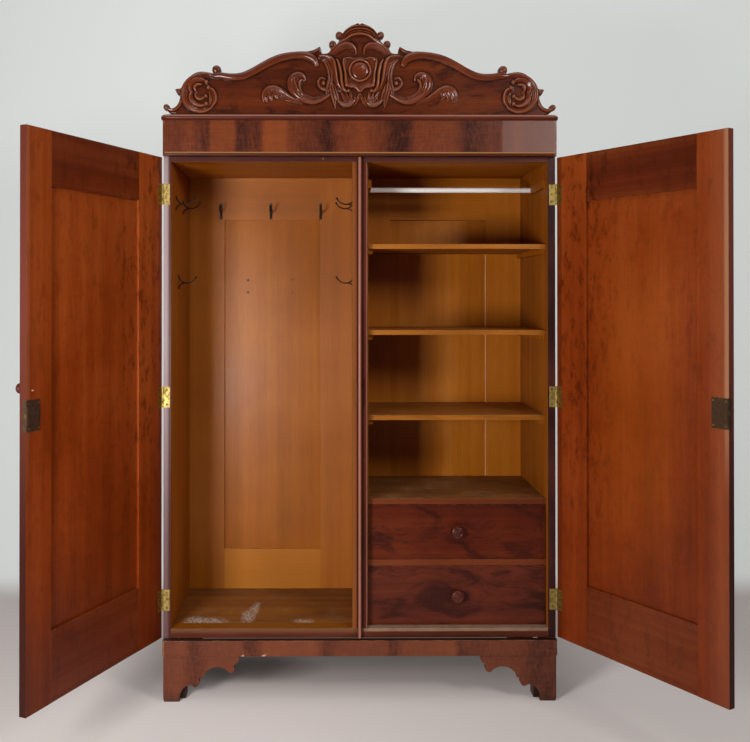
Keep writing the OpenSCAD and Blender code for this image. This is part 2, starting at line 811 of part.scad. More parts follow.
module crest_shield() {
    plate = 9 * crest_k * relief;
    dish = 4 * crest_k * relief;
    ring_r = boss_r * crest_k;
    rim_r = 4.5 * crest_k;
    dome_r = 62 * crest_k;
    dome_h = 7 * crest_k;
    color(mahogany) translate([0, crest_face, cornice_top]) {
        difference() {
            rotate([90, 0, 0]) linear_extrude(plate) shield_plan(1);
            translate([0, -plate + dish, 0]) rotate([90, 0, 0])
                linear_extrude(plate) shield_plan(0.86);
        }
        translate([0, dish - plate, boss_v * crest_kv]) rotate([90, 0, 0]) {
            rotate_extrude() translate([ring_r - rim_r, 0]) intersection() {
                circle(rim_r);
                translate([-rim_r, 0]) square([2 * rim_r, rim_r]);
            }
            intersection() {
                translate([0, 0, dome_h - dome_r]) sphere(dome_r, $fn = 96);
                cylinder(r = ring_r - 2.5 * rim_r, h = dome_r);
            }
        }
    }
}

// Two blocks behind the crest hold it upright on the top board
module crest_blocks() {
    block_h = 110;
    block_d = 70;
    block_w = 34;
    toe = 12;
    block_x = 0.27 * case_w;
    color(pale_wood) for (s = [-1, 1])
        translate([s * block_x - block_w / 2, crest_face + crest_t, cornice_top])
            rotate([90, 0, 90]) linear_extrude(block_w)
                polygon([[0, 0], [block_d, 0], [block_d, toe], [toe, block_h], [0, block_h]]);
}

// Coat hooks of bent wire. Local x runs out of the wall, z up from the lower foot.
hook_top = 53;
hook_bowl_r = 31;
hook_tip_r = 38;
hook_foot_r = 21;

module wire_arc(x, z, r, from, sweep) {
    translate([x, 0, z]) rotate([90, 0, 0]) rotate([0, 0, from])
        rotate_extrude(angle = sweep) translate([r, 0]) circle(d = wire_d, $fn = 16);
}

module coat_hook() {
    tip = -25;
    translate([wire_d / 2, 0, 0]) {
        wire_arc(hook_bowl_r, hook_top, hook_bowl_r, 180, 90);
        wire_arc(hook_bowl_r, hook_top - hook_bowl_r + hook_tip_r, hook_tip_r, 270, 90 + tip);
        wire_arc(hook_foot_r, 0, hook_foot_r, 90, 90);
        translate([hook_bowl_r + hook_tip_r * cos(tip), 0,
            hook_top - hook_bowl_r + hook_tip_r * (1 + sin(tip))])
            sphere(wire_d * 0.9, $fn = 24);
    }
}

hook_mid_x = (-inner_x - partition_left) / 2;
hook_back_step = 202;
hook_depths = [100, 270];
hook_low_depth = 160;

module coat_hooks() {
    row_z = ceiling_z - hook_row_drop;
    low_z = ceiling_z - hook_low_drop;
    color(iron) {
        for (d = hook_depths) {
            translate([-inner_x, front + d, row_z]) coat_hook();
            translate([-partition_left, front + d, row_z]) mirror([1, 0, 0]) coat_hook();
        }
        translate([-inner_x, front + hook_low_depth, low_z]) coat_hook();
        translate([-partition_left, front + hook_low_depth, low_z])
            mirror([1, 0, 0]) coat_hook();
        for (k = [-1, 0, 1])
            translate([hook_mid_x + k * hook_back_step, back_front, row_z])
                rotate(-90) coat_hook();
    }
}

// Hanging rod in its two battens
rod_seat = 8;
rod_y = (front + back_front) / 2;

module hanging_rod() {
    color(white_paint)
        translate([partition_right + rod_batten_t - rod_seat, rod_y, rod_z]) rotate([0, 90, 0])
            cylinder(d = rod_d, h = bay_w - 2 * (rod_batten_t - rod_seat));
}

module rod_batten() {
    rod_fit = 0.1;
    length = rod_y - front + rod_batten_h;
    difference() {
        translate([0, front + fitting_setback, rod_z - rod_batten_h / 2])
            cube([rod_batten_t, length - fitting_setback, rod_batten_h]);
        translate([rod_batten_t - rod_seat, rod_y, rod_z]) rotate([0, 90, 0])
            cylinder(d = rod_d + 2 * rod_fit, h = rod_batten_t);
    }
}

module shelf_batten(z) {
    block([0, fitting_y + batten, z - batten], [batten, back_front - batten, z]);
}

// Battens on the partition, and their mirror images on the right side
module battens() {
    module one_wall() {
        rod_batten();
        for (z = shelf_levels) shelf_batten(z);
    }
    color(ochre) {
        translate([partition_right, 0, 0]) one_wall();
        translate([inner_x, 0, 0]) mirror([1, 0, 0]) one_wall();
    }
}

module shelf(z) {
    block([partition_right, fitting_y, z], [inner_x, back_front, z + shelf_t]);
}

module shelf_lower() {
    color(ochre) shelf(shelf_levels[0]);
}

module shelf_middle() {
    color(ochre) shelf(shelf_levels[1]);
}

module shelf_upper() {
    color(ochre) shelf(shelf_levels[2]);
}

module drawer_deck() {
    color(dark_mahogany)
        block([partition_right, fitting_y, deck_z], [inner_x, back_front, deck_top]);
}

module drawer_rail() {
    color(mahogany) block([partition_right, fitting_y, lower_top_z],
        [inner_x, fitting_y + rail_d, upper_z]);
}

module drawer_runners() {
    color(pale_wood) for (x = [partition_right, inner_x - runner_w])
        block([x, fitting_y + rail_d, lower_top_z], [x + runner_w, back_front, upper_z]);
}

// Hinges. A leaf lies in the edge of the case or in the door and carries its share of
// the five knuckles. The left hinges are drawn; the right ones mirror them.
knuckles = 5;
knuckle_slack = 0.15;
knuckle_room = 0.6;

module knuckle(index, z, leaf_y) {
    height = hinge_h / knuckles;
    low = z - hinge_h / 2 + index * height + knuckle_slack;
    high = low + height - 2 * knuckle_slack;
    translate([-pin_x, pin_y, low]) cylinder(d = knuckle_d, h = high - low);
    block([-pin_x, leaf_y, low], [1 - half_w, leaf_y + leaf_t, high]);
}

module hinge_bore(z, d) {
    translate([-pin_x, pin_y, z - hinge_h / 2 - 1]) cylinder(d = d, h = hinge_h + 2);
}

// A leaf stops short of the line of knuckles, except where its own ones join it
module hinge_half(z, leaf_y, own) {
    difference() {
        union() {
            block([knuckle_room - half_w, leaf_y, z - hinge_h / 2],
                [leaf_w - half_w, leaf_y + leaf_t, z + hinge_h / 2]);
            for (k = own) knuckle(k, z, leaf_y);
        }
        hinge_bore(z, pin_d + 2 * pin_clearance);
    }
}

module case_hinge(z) {
    hinge_half(z, front, [0, 2, 4]);
}

module door_hinge(z) {
    hinge_half(z, door_in_y - leaf_t, [1, 3]);
}

module both_sides() {
    for (s = [0, 1]) mirror([s, 0, 0]) children();
}

module case_hinges() {
    color(brass) both_sides() for (z = hinge_levels) case_hinge(z);
}

// Each pin has a small head that rests on the top knuckle
module hinge_pins() {
    head_h = 1.6;
    color(brass) both_sides() for (z = hinge_levels) translate([-pin_x, pin_y, z]) {
        translate([0, 0, -hinge_h / 2]) cylinder(d = pin_d, h = hinge_h);
        translate([0, 0, hinge_h / 2 - knuckle_slack]) cylinder(d = knuckle_d - 1, h = head_h);
    }
}

// Doors. Every piece is drawn on the closed left door and then swung open.
module on_left_door() {
    translate([-pin_x, pin_y, 0]) rotate(-left_open) translate([pin_x, -pin_y, 0]) children();
}

module on_right_door() {
    translate([pin_x, pin_y, 0]) rotate(right_open) translate([-pin_x, -pin_y, 0])
        mirror([1, 0, 0]) children();
}

// A block on the closed left door: u in from the hinge edge, t out from the inner face
module door_block(u0, u1, t0, t1, z0, z1) {
    block([u0 - half_w, door_in_y - t1, z0], [u1 - half_w, door_in_y - t0, z1]);
}

// Room for the lock case and its edge plate
module lock_pocket() {
    door_block(door_w - lock_w, door_w + 1, -1, lock_depth, lock_z - lock_h / 2,
        lock_z + lock_h / 2);
    door_block(door_w - lock_plate_t, door_w + 1, -1, lock_plate_in, lock_z - lock_h / 2,
        lock_z + lock_h / 2);
}

module door_stiles() {
    difference() {
        union() {
            door_block(0, hinge_stile_w, 0, door_t, door_z0, door_z1);
            door_block(panel_u1, door_w, 0, door_t, door_z0, door_z1);
        }
        door_block(hinge_stile_w - groove_d, panel_u1 + groove_d, tongue_in_t, tongue_out_t,
            door_z0 - 1, door_z1 + 1);
        for (z = hinge_levels) {
            door_block(-1, leaf_w, -1, leaf_t, z - hinge_h / 2, z + hinge_h / 2);
            hinge_bore(z, knuckle_d + 2 * knuckle_room);
        }
        lock_pocket();
    }
}

// The rails have stub tongues that fill the grooves of the stiles
module door_rails() {
    difference() {
        union() {
            door_block(hinge_stile_w, panel_u1, 0, door_t, door_z0, panel_z0);
            door_block(hinge_stile_w, panel_u1, 0, door_t, panel_z1, door_z1);
            door_block(hinge_stile_w - groove_d, panel_u1 + groove_d, tongue_in_t,
                tongue_out_t, door_z0, door_z1);
        }
        door_block(hinge_stile_w - groove_d - 1, panel_u1 + groove_d + 1, tongue_in_t,
            tongue_out_t, panel_z0 - groove_d, panel_z1 + groove_d);
    }
}

module door_panel() {
    translate([hinge_stile_w - half_w, door_in_y, panel_z0]) mirror([0, 1, 0])
        fielded_panel(panel_u1 - hinge_stile_w, panel_z1 - panel_z0, panel_recess,
            tongue_in_t, tongue_t, panel_bevel_w);
}

// Ogee moulding that lies on the outer face of the panel against the frame
module door_moulding() {
    rise = door_t - tongue_out_t + 3;
    w = door_moulding_w;
    ogee = concat(
        [[0, 0], [0, rise]],
        arc(w * 0.3, rise * 0.55, rise * 0.45, 120, 20, 6),
        smooth([[w * 0.62, rise * 0.42], [w * 0.8, rise * 0.3], [w, rise * 0.25]]),
        [[w, 0]]
    );
    translate([hinge_stile_w - half_w, door_in_y - tongue_out_t, panel_z0]) rotate([90, 0, 0])
        mitred_strips(panel_u1 - hinge_stile_w, panel_z1 - panel_z0, w) polygon(ogee);
}

module bolt_room(slack) {
    door_block(door_w - bolt_l - slack, door_w + 1, bolt_in_t - slack,
        bolt_in_t + bolt_t + slack, lock_z - bolt_h / 2 - slack, lock_z + bolt_h / 2 + slack);
}

// Lock case let into the inner face, with its raised cover and the plate on the edge of
// the door
module door_lock() {
    plate_proud = lock_proud / 3;
    cover_h = 0.6 * lock_h;
    cover_in = 0.1 * lock_w;
    difference() {
        union() {
            door_block(door_w - lock_w, door_w - lock_plate_t, -plate_proud, lock_depth,
                lock_z - lock_h / 2, lock_z + lock_h / 2);
            door_block(door_w - lock_plate_t, door_w, -plate_proud, lock_plate_in,
                lock_z - lock_h / 2, lock_z + lock_h / 2);
            door_block(door_w - lock_w + cover_in, door_w - lock_plate_t, -lock_proud,
                lock_depth, lock_z - cover_h / 2, lock_z + cover_h / 2);
        }
        bolt_room(bolt_slack);
    }
}

module door_bolt() {
    door_block(door_w - bolt_l, door_w, bolt_in_t, bolt_in_t + bolt_t, lock_z - bolt_h / 2,
        lock_z + bolt_h / 2);
}

module door_knob() {
    r = door_knob_d / 2;
    profile = concat(
        [[0, 0], [r * 0.62, 0], [r * 0.62, 3], [r * 0.4, 7]],
        smooth([[r * 0.42, 12], [r * 0.8, 17], [r, 23], [r * 0.86, 30], [r * 0.45, 33],
            [0, 34]])
    );
    translate([door_w - door_knob_edge - half_w, door_in_y - door_t,
        base_top + door_knob_z_over_plinth])
        rotate([90, 0, 0]) rotate_extrude() polygon(profile);
}

module left_door_stiles() {
    color(door_red) on_left_door() door_stiles();
}

module left_door_rails() {
    color(mahogany) on_left_door() door_rails();
}

module left_door_panel() {
    color(door_red) on_left_door() door_panel();
}

module left_door_moulding() {
    color(mahogany) on_left_door() door_moulding();
}

module left_door_lock() {
    color(iron) on_left_door() door_lock();
}

module left_door_bolt() {
    color(brass) on_left_door() door_bolt();
}

module left_door_hinges() {
    color(brass) on_left_door() for (z = hinge_levels) door_hinge(z);
}

module left_door_knob() {
    color(dark_mahogany) on_left_door() door_knob();
}

module right_door_stiles() {
    color(door_red) on_right_door() door_stiles();
}

module right_door_rails() {
    color(mahogany) on_right_door() door_rails();
}

module right_door_panel() {
    color(door_red) on_right_door() door_panel();
}

module right_door_moulding() {
    color(mahogany) on_right_door() door_moulding();
}

module right_door_lock() {
    color(iron) on_right_door() door_lock();
}

module right_door_bolt() {
    color(brass) on_right_door() door_bolt();
}

module right_door_hinges() {
    color(brass) on_right_door() for (z = hinge_levels) door_hinge(z);
}

// Drawers, drawn from the level that they run on and the height of their opening
drawer_x0 = partition_right + drawer_gap;
drawer_x1 = inner_x - drawer_gap;
drawer_box_y = fitting_y + drawer_front_t;
drawer_rear = back_front - drawer_rear_gap;

module drawer_front(z, opening) {
    block([drawer_x0, fitting_y, z + drawer_gap],
        [drawer_x1, drawer_box_y, z + opening - drawer_gap]);
}

module drawer_box(z, opening) {
    low = z + running_gap;
    high = z + opening - drawer_side_drop;
    block([drawer_x0, drawer_box_y, low], [drawer_x0 + drawer_side_t, drawer_rear, high]);
    block([drawer_x1 - drawer_side_t, drawer_box_y, low], [drawer_x1, drawer_rear, high]);
    block([drawer_x0 + drawer_side_t, drawer_rear - drawer_side_t, low + drawer_bottom_up
        + drawer_bottom_t], [drawer_x1 - drawer_side_t, drawer_rear, high]);
}

module drawer_bottom(z) {
    low = z + running_gap + drawer_bottom_up;
    block([drawer_x0 + drawer_side_t, drawer_box_y, low],
        [drawer_x1 - drawer_side_t, drawer_rear, low + drawer_bottom_t]);
}

module drawer_knob(z, opening) {
    r = drawer_knob_d / 2;
    l = drawer_knob_l;
    profile = concat(
        [[0, 0], [r * 0.55, 0], [r * 0.55, l * 0.1], [r * 0.42, l * 0.2]],
        smooth([[r * 0.42, l * 0.34], [r * 0.82, l * 0.5], [r, l * 0.68], [r * 0.9, l * 0.85],
            [r * 0.62, l * 0.93]]),
        smooth([[r * 0.55, l * 0.9], [r * 0.3, l * 0.97], [0, l]])
    );
    translate([bay_mid, fitting_y, z + opening / 2]) rotate([90, 0, 0])
        rotate_extrude() polygon(profile);
}

module upper_drawer_front() {
    color(dark_mahogany) drawer_front(upper_z, upper_opening_h);
}

module upper_drawer_box() {
    color(pale_wood) drawer_box(upper_z, upper_opening_h);
}

module upper_drawer_bottom() {
    color(pale_wood) drawer_bottom(upper_z);
}

module upper_drawer_knob() {
    color(mahogany) drawer_knob(upper_z, upper_opening_h);
}

module lower_drawer_front() {
    color(dark_mahogany) drawer_front(floor_z, lower_opening_h);
}

module lower_drawer_box() {
    color(pale_wood) drawer_box(floor_z, lower_opening_h);
}

module lower_drawer_bottom() {
    color(pale_wood) drawer_bottom(floor_z);
}

module lower_drawer_knob() {
    color(mahogany) drawer_knob(floor_z, lower_opening_h);
}

plinth_front();
plinth_frame();
foot_front_left();
foot_front_right();
foot_back_left();
foot_back_right();
side_left();
side_right();
case_bottom();
case_top();
bottom_rail();
partition();
centre_stile();
back_left();
back_right();
frieze_front();
frieze_frame();
frieze_bead();
cornice_moulding();
cornice_board();
crest_board();
crest_roll();
crest_shield();
crest_scrolls();
crest_corners();
crest_blocks();
coat_hooks();
hanging_rod();
battens();
shelf_upper();
shelf_middle();
shelf_lower();
drawer_deck();
drawer_rail();
drawer_runners();
case_hinges();
hinge_pins();
left_door_stiles();
left_door_rails();
left_door_panel();
left_door_moulding();
left_door_lock();
left_door_bolt();
left_door_hinges();
left_door_knob();
right_door_stiles();
right_door_rails();
right_door_panel();
right_door_moulding();
right_door_lock();
right_door_bolt();
right_door_hinges();
upper_drawer_front();
upper_drawer_box();
upper_drawer_bottom();
upper_drawer_knob();
lower_drawer_front();
lower_drawer_box();
lower_drawer_bottom();
lower_drawer_knob();
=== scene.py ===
# Two-door mahogany wardrobe with a carved crest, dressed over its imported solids.
# Lengths are metres: X to the right, Y to the back, Z up, and the floor is z = 0.
import json
import math

import bmesh
import bpy
import numpy as np
from mathutils import Matrix, Vector
from mathutils.geometry import delaunay_2d_cdt

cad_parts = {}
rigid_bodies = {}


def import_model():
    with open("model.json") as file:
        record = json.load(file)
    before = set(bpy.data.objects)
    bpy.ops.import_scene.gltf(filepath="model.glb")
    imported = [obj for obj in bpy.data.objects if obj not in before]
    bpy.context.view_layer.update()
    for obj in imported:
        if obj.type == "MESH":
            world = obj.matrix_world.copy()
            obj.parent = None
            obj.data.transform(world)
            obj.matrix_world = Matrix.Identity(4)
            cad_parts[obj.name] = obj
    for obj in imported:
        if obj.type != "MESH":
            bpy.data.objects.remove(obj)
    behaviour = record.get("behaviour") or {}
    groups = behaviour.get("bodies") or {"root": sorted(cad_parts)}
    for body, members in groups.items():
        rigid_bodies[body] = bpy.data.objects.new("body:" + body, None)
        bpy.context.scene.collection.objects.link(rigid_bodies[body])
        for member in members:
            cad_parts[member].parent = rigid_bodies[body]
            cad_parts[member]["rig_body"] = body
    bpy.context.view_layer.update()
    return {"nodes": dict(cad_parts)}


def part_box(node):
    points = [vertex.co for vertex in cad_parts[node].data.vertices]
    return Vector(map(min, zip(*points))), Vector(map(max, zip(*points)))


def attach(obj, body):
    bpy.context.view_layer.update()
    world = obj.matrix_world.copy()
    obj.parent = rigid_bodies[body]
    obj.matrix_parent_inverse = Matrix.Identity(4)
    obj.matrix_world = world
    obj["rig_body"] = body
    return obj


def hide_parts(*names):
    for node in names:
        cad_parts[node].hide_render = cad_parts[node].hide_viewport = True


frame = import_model()
nodes = frame["nodes"]
bpy.ops.object.select_all(action="DESELECT")


# Studio. The camera stands at shelf height and looks almost level into the open case.
# A soft lamp stands on its left and weaker ones right and above, and the pale floor runs
# up into a pale wall.
class Value:
    """A number, place or colour in a finish. Sums on it add the nodes that work them out."""

    def __init__(self, finish, socket):
        self.finish = finish
        self.socket = socket

    def __add__(self, other):
        return self.finish.sum("ADD", self, other)

    def __radd__(self, other):
        return self.finish.sum("ADD", other, self)

    def __sub__(self, other):
        return self.finish.sum("SUBTRACT", self, other)

    def __rsub__(self, other):
        return self.finish.sum("SUBTRACT", other, self)

    def __mul__(self, other):
        return self.finish.sum("MULTIPLY", self, other)

    def __truediv__(self, other):
        return self.finish.sum("DIVIDE", self, other)

    def part(self, axis):
        return self.finish.node("ShaderNodeSeparateXYZ", None, {0: self}, axis)

    x = property(lambda self: self.part("X"))
    y = property(lambda self: self.part("Y"))
    z = property(lambda self: self.part("Z"))

    def rise(self, low, high):
        """0 below low, 1 above high and smooth between them."""
        return self.finish.node("ShaderNodeMapRange", {"interpolation_type": "SMOOTHSTEP"},
                                {"Value": self, "From Min": low, "From Max": high})

    def fall(self, low, high):
        return 1 - self.rise(low, high)

    def ramp(self, *stops):
        """The colour of this number between stops [number, colour]."""
        return self.finish.node("ShaderNodeValToRGB", {"stops": stops}, {"Fac": self})

    def tinted(self, over, mask):
        """This colour with another laid over it where the mask is 1."""
        return self.finish.mix(mask, self, over)

    def stretch(self, x, y, z):
        return self.finish.vector("MULTIPLY", self, (x, y, z))

    def away(self, point):
        return self.finish.vector("DISTANCE", self, point, "Value")

    def toward(self, direction):
        return self.finish.vector("DOT_PRODUCT", self, direction, "Value")

    def turned(self, axis, angle):
        return self.finish.node("ShaderNodeVectorRotate", {"rotation_type": axis},
                                {"Vector": self, "Angle": angle})

    def noise(self, scale=1.0, detail=2.0, rough=0.5, twist=0.0, output=0):
        return self.finish.node("ShaderNodeTexNoise", None,
                                {"Vector": self, "Scale": scale, "Detail": detail,
                                 "Roughness": rough, "Distortion": twist}, output)

    def streaks(self, across, along, detail=2.0, rough=0.5, twist=0.0):
        """Noise that is finer across z than along it."""
        return self.stretch(across, across, along).noise(1.0, detail, rough, twist)


class Finish:
    """One finish. node() adds any node: its type, its settings, then its sockets."""

    def __init__(self, name):
        self.material = bpy.data.materials.new(name)
        self.material.use_nodes = True
        self.tree = self.material.node_tree
        self.shader = self.tree.nodes["Principled BSDF"]

    place = property(lambda self: self.node("ShaderNodeTexCoord", output="Object"))
    normal = property(lambda self: self.node("ShaderNodeTexCoord", output="Normal"))
    world_normal = property(lambda self: self.node("ShaderNodeNewGeometry", output="Normal"))
    upward = property(lambda self: self.world_normal.z.rise(0.6, 0.9))

    def node(self, kind, settings=None, sockets=None, output=0):
        made = self.tree.nodes.new(kind)
        for name, value in (settings or {}).items():
            if name == "stops":
                self.lay_stops(made.color_ramp, value)
            else:
                setattr(made, name, value)
        for name, value in (sockets or {}).items():
            self.feed(made.inputs[name], value)
        return Value(self, made.outputs[output])

    def feed(self, socket, value):
        if isinstance(value, Value):
            self.tree.links.new(value.socket, socket)
        elif socket.type == "RGBA":
            socket.default_value = (*tint(value), 1)
        else:
            socket.default_value = value

    def lay_stops(self, ramp, stops):
        while len(ramp.elements) < len(stops):
            ramp.elements.new(0.5)
        for element, (place, colour) in zip(ramp.elements, stops):
            element.position = place
            element.color = (*tint(colour), 1)

    def sum(self, operation, *terms):
        return self.node("ShaderNodeMath", {"operation": operation}, dict(enumerate(terms)))

    def vector(self, operation, a, b, output=0):
        return self.node("ShaderNodeVectorMath", {"operation": operation}, {0: a, 1: b}, output)

    def mix(self, mask, under, over):
        """The colour under, with the colour over laid on it where the mask is 1."""
        return self.node("ShaderNodeMix", {"data_type": "RGBA"},
                         {0: mask, 6: under, 7: over}, 2)

    def attribute(self, name):
        return self.node("ShaderNodeAttribute", {"attribute_name": name}, output="Fac")

    def lay(self, colour, rough, height=None, depth=0.0001, **others):
        """Feeds the shader. The height, from 0 to 1, becomes bump that is depth metres deep."""
        others |= {"Base_Color": colour, "Roughness": rough}
        if height is not None:
            others["Normal"] = self.node("ShaderNodeBump", None,
                                         {"Height": height, "Distance": depth, "Strength": 1.0})
        for name, value in others.items():
            self.feed(self.shader.inputs[name.replace("_", " ")], value)


def tint(colour):
    """A colour written as it looks on a screen, as light. Three shares of light stay."""
    if not isinstance(colour, str):
        return colour
    parts = [int(colour[i:i + 2], 16) / 255 for i in (1, 3, 5)]
    return tuple(p / 12.92 if p < 0.04045 else ((p + 0.055) / 1.055) ** 2.4 for p in parts)


def oval(x, y, centre, halves):
    """1 in the middle of an oval, falling to 0 at its rim."""
    off_x = (x - centre[0]) / halves[0]
    off_y = (y - centre[1]) / halves[1]
    return (off_x * off_x + off_y * off_y).fall(0.0, 1.0)


def pick(piece, kind, wanted):
    """In edit mode, selects those of the piece's edges or faces that are wanted."""
    bpy.ops.mesh.select_all(action="DESELECT")
    shape = bmesh.from_edit_mesh(piece.data)
    for element in getattr(shape, kind):
        element.select_set(wanted(element))
    bmesh.update_edit_mesh(piece.data)


bpy.ops.object.camera_add(location=(-0.1313, -3.5474, 1.4294),
                          rotation=(math.radians(90.3), 0, math.radians(-0.42)))
camera = bpy.context.object
camera.data.sensor_width = 36
camera.data.lens = 44.44
camera.data.shift_x = 0.0603
camera.data.shift_y = -0.1046
bpy.context.scene.camera = camera

lamps = [
    ("lamp_left", (-1.36, -2.35, 1.1), 0.62, 53, (0, 0, 1.15)),
    ("lamp_right", (2.2, -2.7, 2.6), 0.8, 46, (0, 0, 1.1)),
    ("lamp_above", (-0.3, -1.3, 4.6), 3.0, 40, (-0.3, -0.6, 0)),
]
for name, spot, width, power, aim in lamps:
    bpy.ops.object.light_add(type="AREA", location=spot)
    lamp = bpy.context.object
    lamp.name = name
    lamp.data.shape = "SQUARE"
    lamp.data.size = width
    lamp.data.energy = power
    lamp.rotation_euler = (Vector(aim) - Vector(spot)).to_track_quat("-Z", "Y").to_euler()

# The air lights the wardrobe weakly and looks brighter to the camera
air_light = 0.12
air_looks_brighter_by = 0.52
world = bpy.data.worlds.new("studio_air")
bpy.context.scene.world = world
world.use_nodes = True
air = world.node_tree.nodes["Background"]
air.inputs["Color"].default_value = (0.95, 0.98, 1, 1)
looked_at = world.node_tree.nodes.new("ShaderNodeLightPath")
strength = world.node_tree.nodes.new("ShaderNodeMath")
strength.operation = "MULTIPLY_ADD"
strength.inputs[1].default_value = air_looks_brighter_by
strength.inputs[2].default_value = air_light
world.node_tree.links.new(looked_at.outputs["Is Camera Ray"], strength.inputs[0])
world.node_tree.links.new(strength.outputs[0], air.inputs["Strength"])
bpy.context.scene.view_settings.view_transform = "Standard"

wall_y = 0.85


def at_wall(edge, below=10):
    return all(v.co.y > wall_y - 0.05 and v.co.z < below for v in edge.verts)


bpy.ops.mesh.primitive_plane_add(size=14, location=(0, 0, 0))
backdrop = bpy.context.object
backdrop.name = "backdrop"
for vertex in backdrop.data.vertices:
    if vertex.co.y > 0:
        vertex.co.y = wall_y
bpy.ops.object.mode_set(mode="EDIT")
pick(backdrop, "edges", at_wall)
bpy.ops.mesh.extrude_region_move(TRANSFORM_OT_translate={"value": (0, 0, 7)})
pick(backdrop, "edges", lambda edge: at_wall(edge, 0.1))
bpy.ops.mesh.bevel(offset=0.5, segments=16)
bpy.ops.object.mode_set(mode="OBJECT")
bpy.ops.object.shade_smooth()
bpy.ops.mesh.primitive_plane_add(size=16, location=(0, 0, -0.002))
ground = bpy.context.object
ground.name = "floor_behind"

# Painted shade on the paper: a painted shadow under the wardrobe and round its left foot,
# and painted shade by the left lamp that tones down its pool of light. The glow that only the
# camera sees is painted lower under the middle and round the foot as well.
paper = Finish("backdrop_paper")
spot = paper.place
rising = spot.z.rise(-0.02, 0.13)
sideways = paper.sum("ABSOLUTE", spot.x)
under = sideways.fall(0.5, 1.0) * spot.y.rise(-0.36, 0.1)
painted_lamp_shade = spot.away((-1.1, -1.7, 0.0)).fall(0.1, 1.5)
painted_foot_shadow = oval(spot.x, spot.y, (-0.42, 0.04), (0.34, 0.16))
shade = paper.mix(under * (1 - rising), "#b2a9a5", "#584d46")
shade = shade.tinted("#6d6764", painted_lamp_shade * (1 - rising) * 0.6)
shade = shade.tinted("#33241c", painted_foot_shadow * (1 - rising) * 0.75)
shade = shade.tinted("#cfd0ce", rising)
seen = paper.node("ShaderNodeLightPath", output="Is Camera Ray")
glow = paper.mix(sideways.rise(0.6, 1.1), "#4c4745", "#615c59")
glow = glow.tinted("#1e1612", painted_foot_shadow * 0.75)
glow = glow.tinted("#8c8f8d", rising)
turned_away = paper.node("ShaderNodeNewGeometry", output="Backfacing")
paper.lay(shade, 0.9, Emission_Color=paper.mix(seen, (0, 0, 0), glow), Emission_Strength=1.0,
          Specular_IOR_Level=0.1, Alpha=1 - turned_away)
for piece in (backdrop, ground):
    piece.data.materials.append(paper.material)


# Base. Bracket feet and a plinth band of pine, faced with flame mahogany veneer whose
# grain stands upright. The veneer is worn, and chipped along the band's lower edge.
def wood(place, dark, middle, light, rings=0.0, ribbon=0.3, mottle=0.0, fibre=0.2,
         pores=0.3, level=0.5, gloss=0.4):
    """Colour, roughness and height of a board whose grain runs along z of the place.
    rings is the number of growth rings to the metre, and the other shares say how much
    of each mark shows."""
    stripe = place.streaks(26, 0.5)
    cross = place.streaks(14, 60, 4.0, 0.6, 0.8)
    hair = place.streaks(620, 9, 3.0, 0.6)
    cloud = place.noise(2.3, 3.0)
    tone = level + (cloud - 0.5) * 0.7 + (stripe - 0.5) * ribbon * 2.2
    tone = tone + (cross - 0.5) * mottle * 1.6 + (hair - 0.5) * fibre * 1.5
    if rings:
        warp = place.streaks(4, 0.7)
        turns = place.finish.sum("FRACT", (place.x + place.y * 0.8) * rings + warp * 6)
        tone = tone - turns.rise(0.2, 0.9) * turns.fall(0.9, 1.0) * 0.12
    pore = place.streaks(900, 42, 1.0).rise(0.6, 0.72)
    colour = tone.ramp((0.12, dark), (0.5, middle), (0.9, light)).tinted(dark, pore * pores)
    rough = gloss + (cloud - 0.5) * 0.25 + pore * 0.1
    return colour, rough, hair * 0.6 - pore * 0.8


def clouded(colour, place, dark, long, tall, start, share):
    """The dark swirling figure of crotch veneer, laid on a colour. The clouds are drawn
    out along z of the place."""
    push = place.finish.node("ShaderNodeVectorMath", {"operation": "SCALE"},
                             {0: place.noise(2.6, output=1), 3: 0.22})
    swirl = place.finish.vector("ADD", place, push)
    blaze = swirl.streaks(tall, long, 5.0, 0.6, 0.9)
    crumbs = swirl.streaks(210, 26, 4.0, 0.65)
    mask = (blaze + (crumbs - 0.5) * 0.3).rise(start, start + 0.24)
    return colour.tinted(dark, mask * share)


def level_along(place, angle=0.0):
    """The place turned so that a grain along X, turned by angle about Z, runs along z."""
    if angle:
        place = place.turned("Z_AXIS", -angle)
    return place.turned("Y_AXIS", math.radians(90))


def new_piece(name, mesh):
    """A piece from a mesh. It is the only one selected."""
    piece = bpy.data.objects.new(name, mesh)
    bpy.context.scene.collection.objects.link(piece)
    bpy.ops.object.select_all(action="DESELECT")
    bpy.context.view_layer.objects.active = piece
    piece.select_set(True)
    return piece


def remodelled(name, suffix, reach, reshape):
    """A piece that stands for a CAD node. Its points are joined within reach of each other,
    and reshape() then works on its mesh."""
    piece = new_piece(name + suffix, nodes[name].data.copy())
    bpy.ops.object.mode_set(mode="EDIT")
    bpy.ops.mesh.select_all(action="SELECT")
    bpy.ops.mesh.remove_doubles(threshold=reach)
    reshape()
    bpy.ops.object.mode_set(mode="OBJECT")
    bpy.ops.mesh.customdata_custom_splitnormals_clear()
    bpy.ops.object.shade_smooth()
    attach(piece, nodes[name]["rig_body"])
    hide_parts(name)
    return piece


def rounded(piece, width, **settings):
    rounding = piece.modifiers.new("rounding", "BEVEL")
    rounding.width = width
    rounding.segments = 2
    for name, value in settings.items():
        setattr(rounding, name, value)
    bpy.ops.object.modifier_apply(modifier="rounding")


def join_flat_faces():
    bpy.ops.mesh.dissolve_limited(angle_limit=math.radians(1.5))


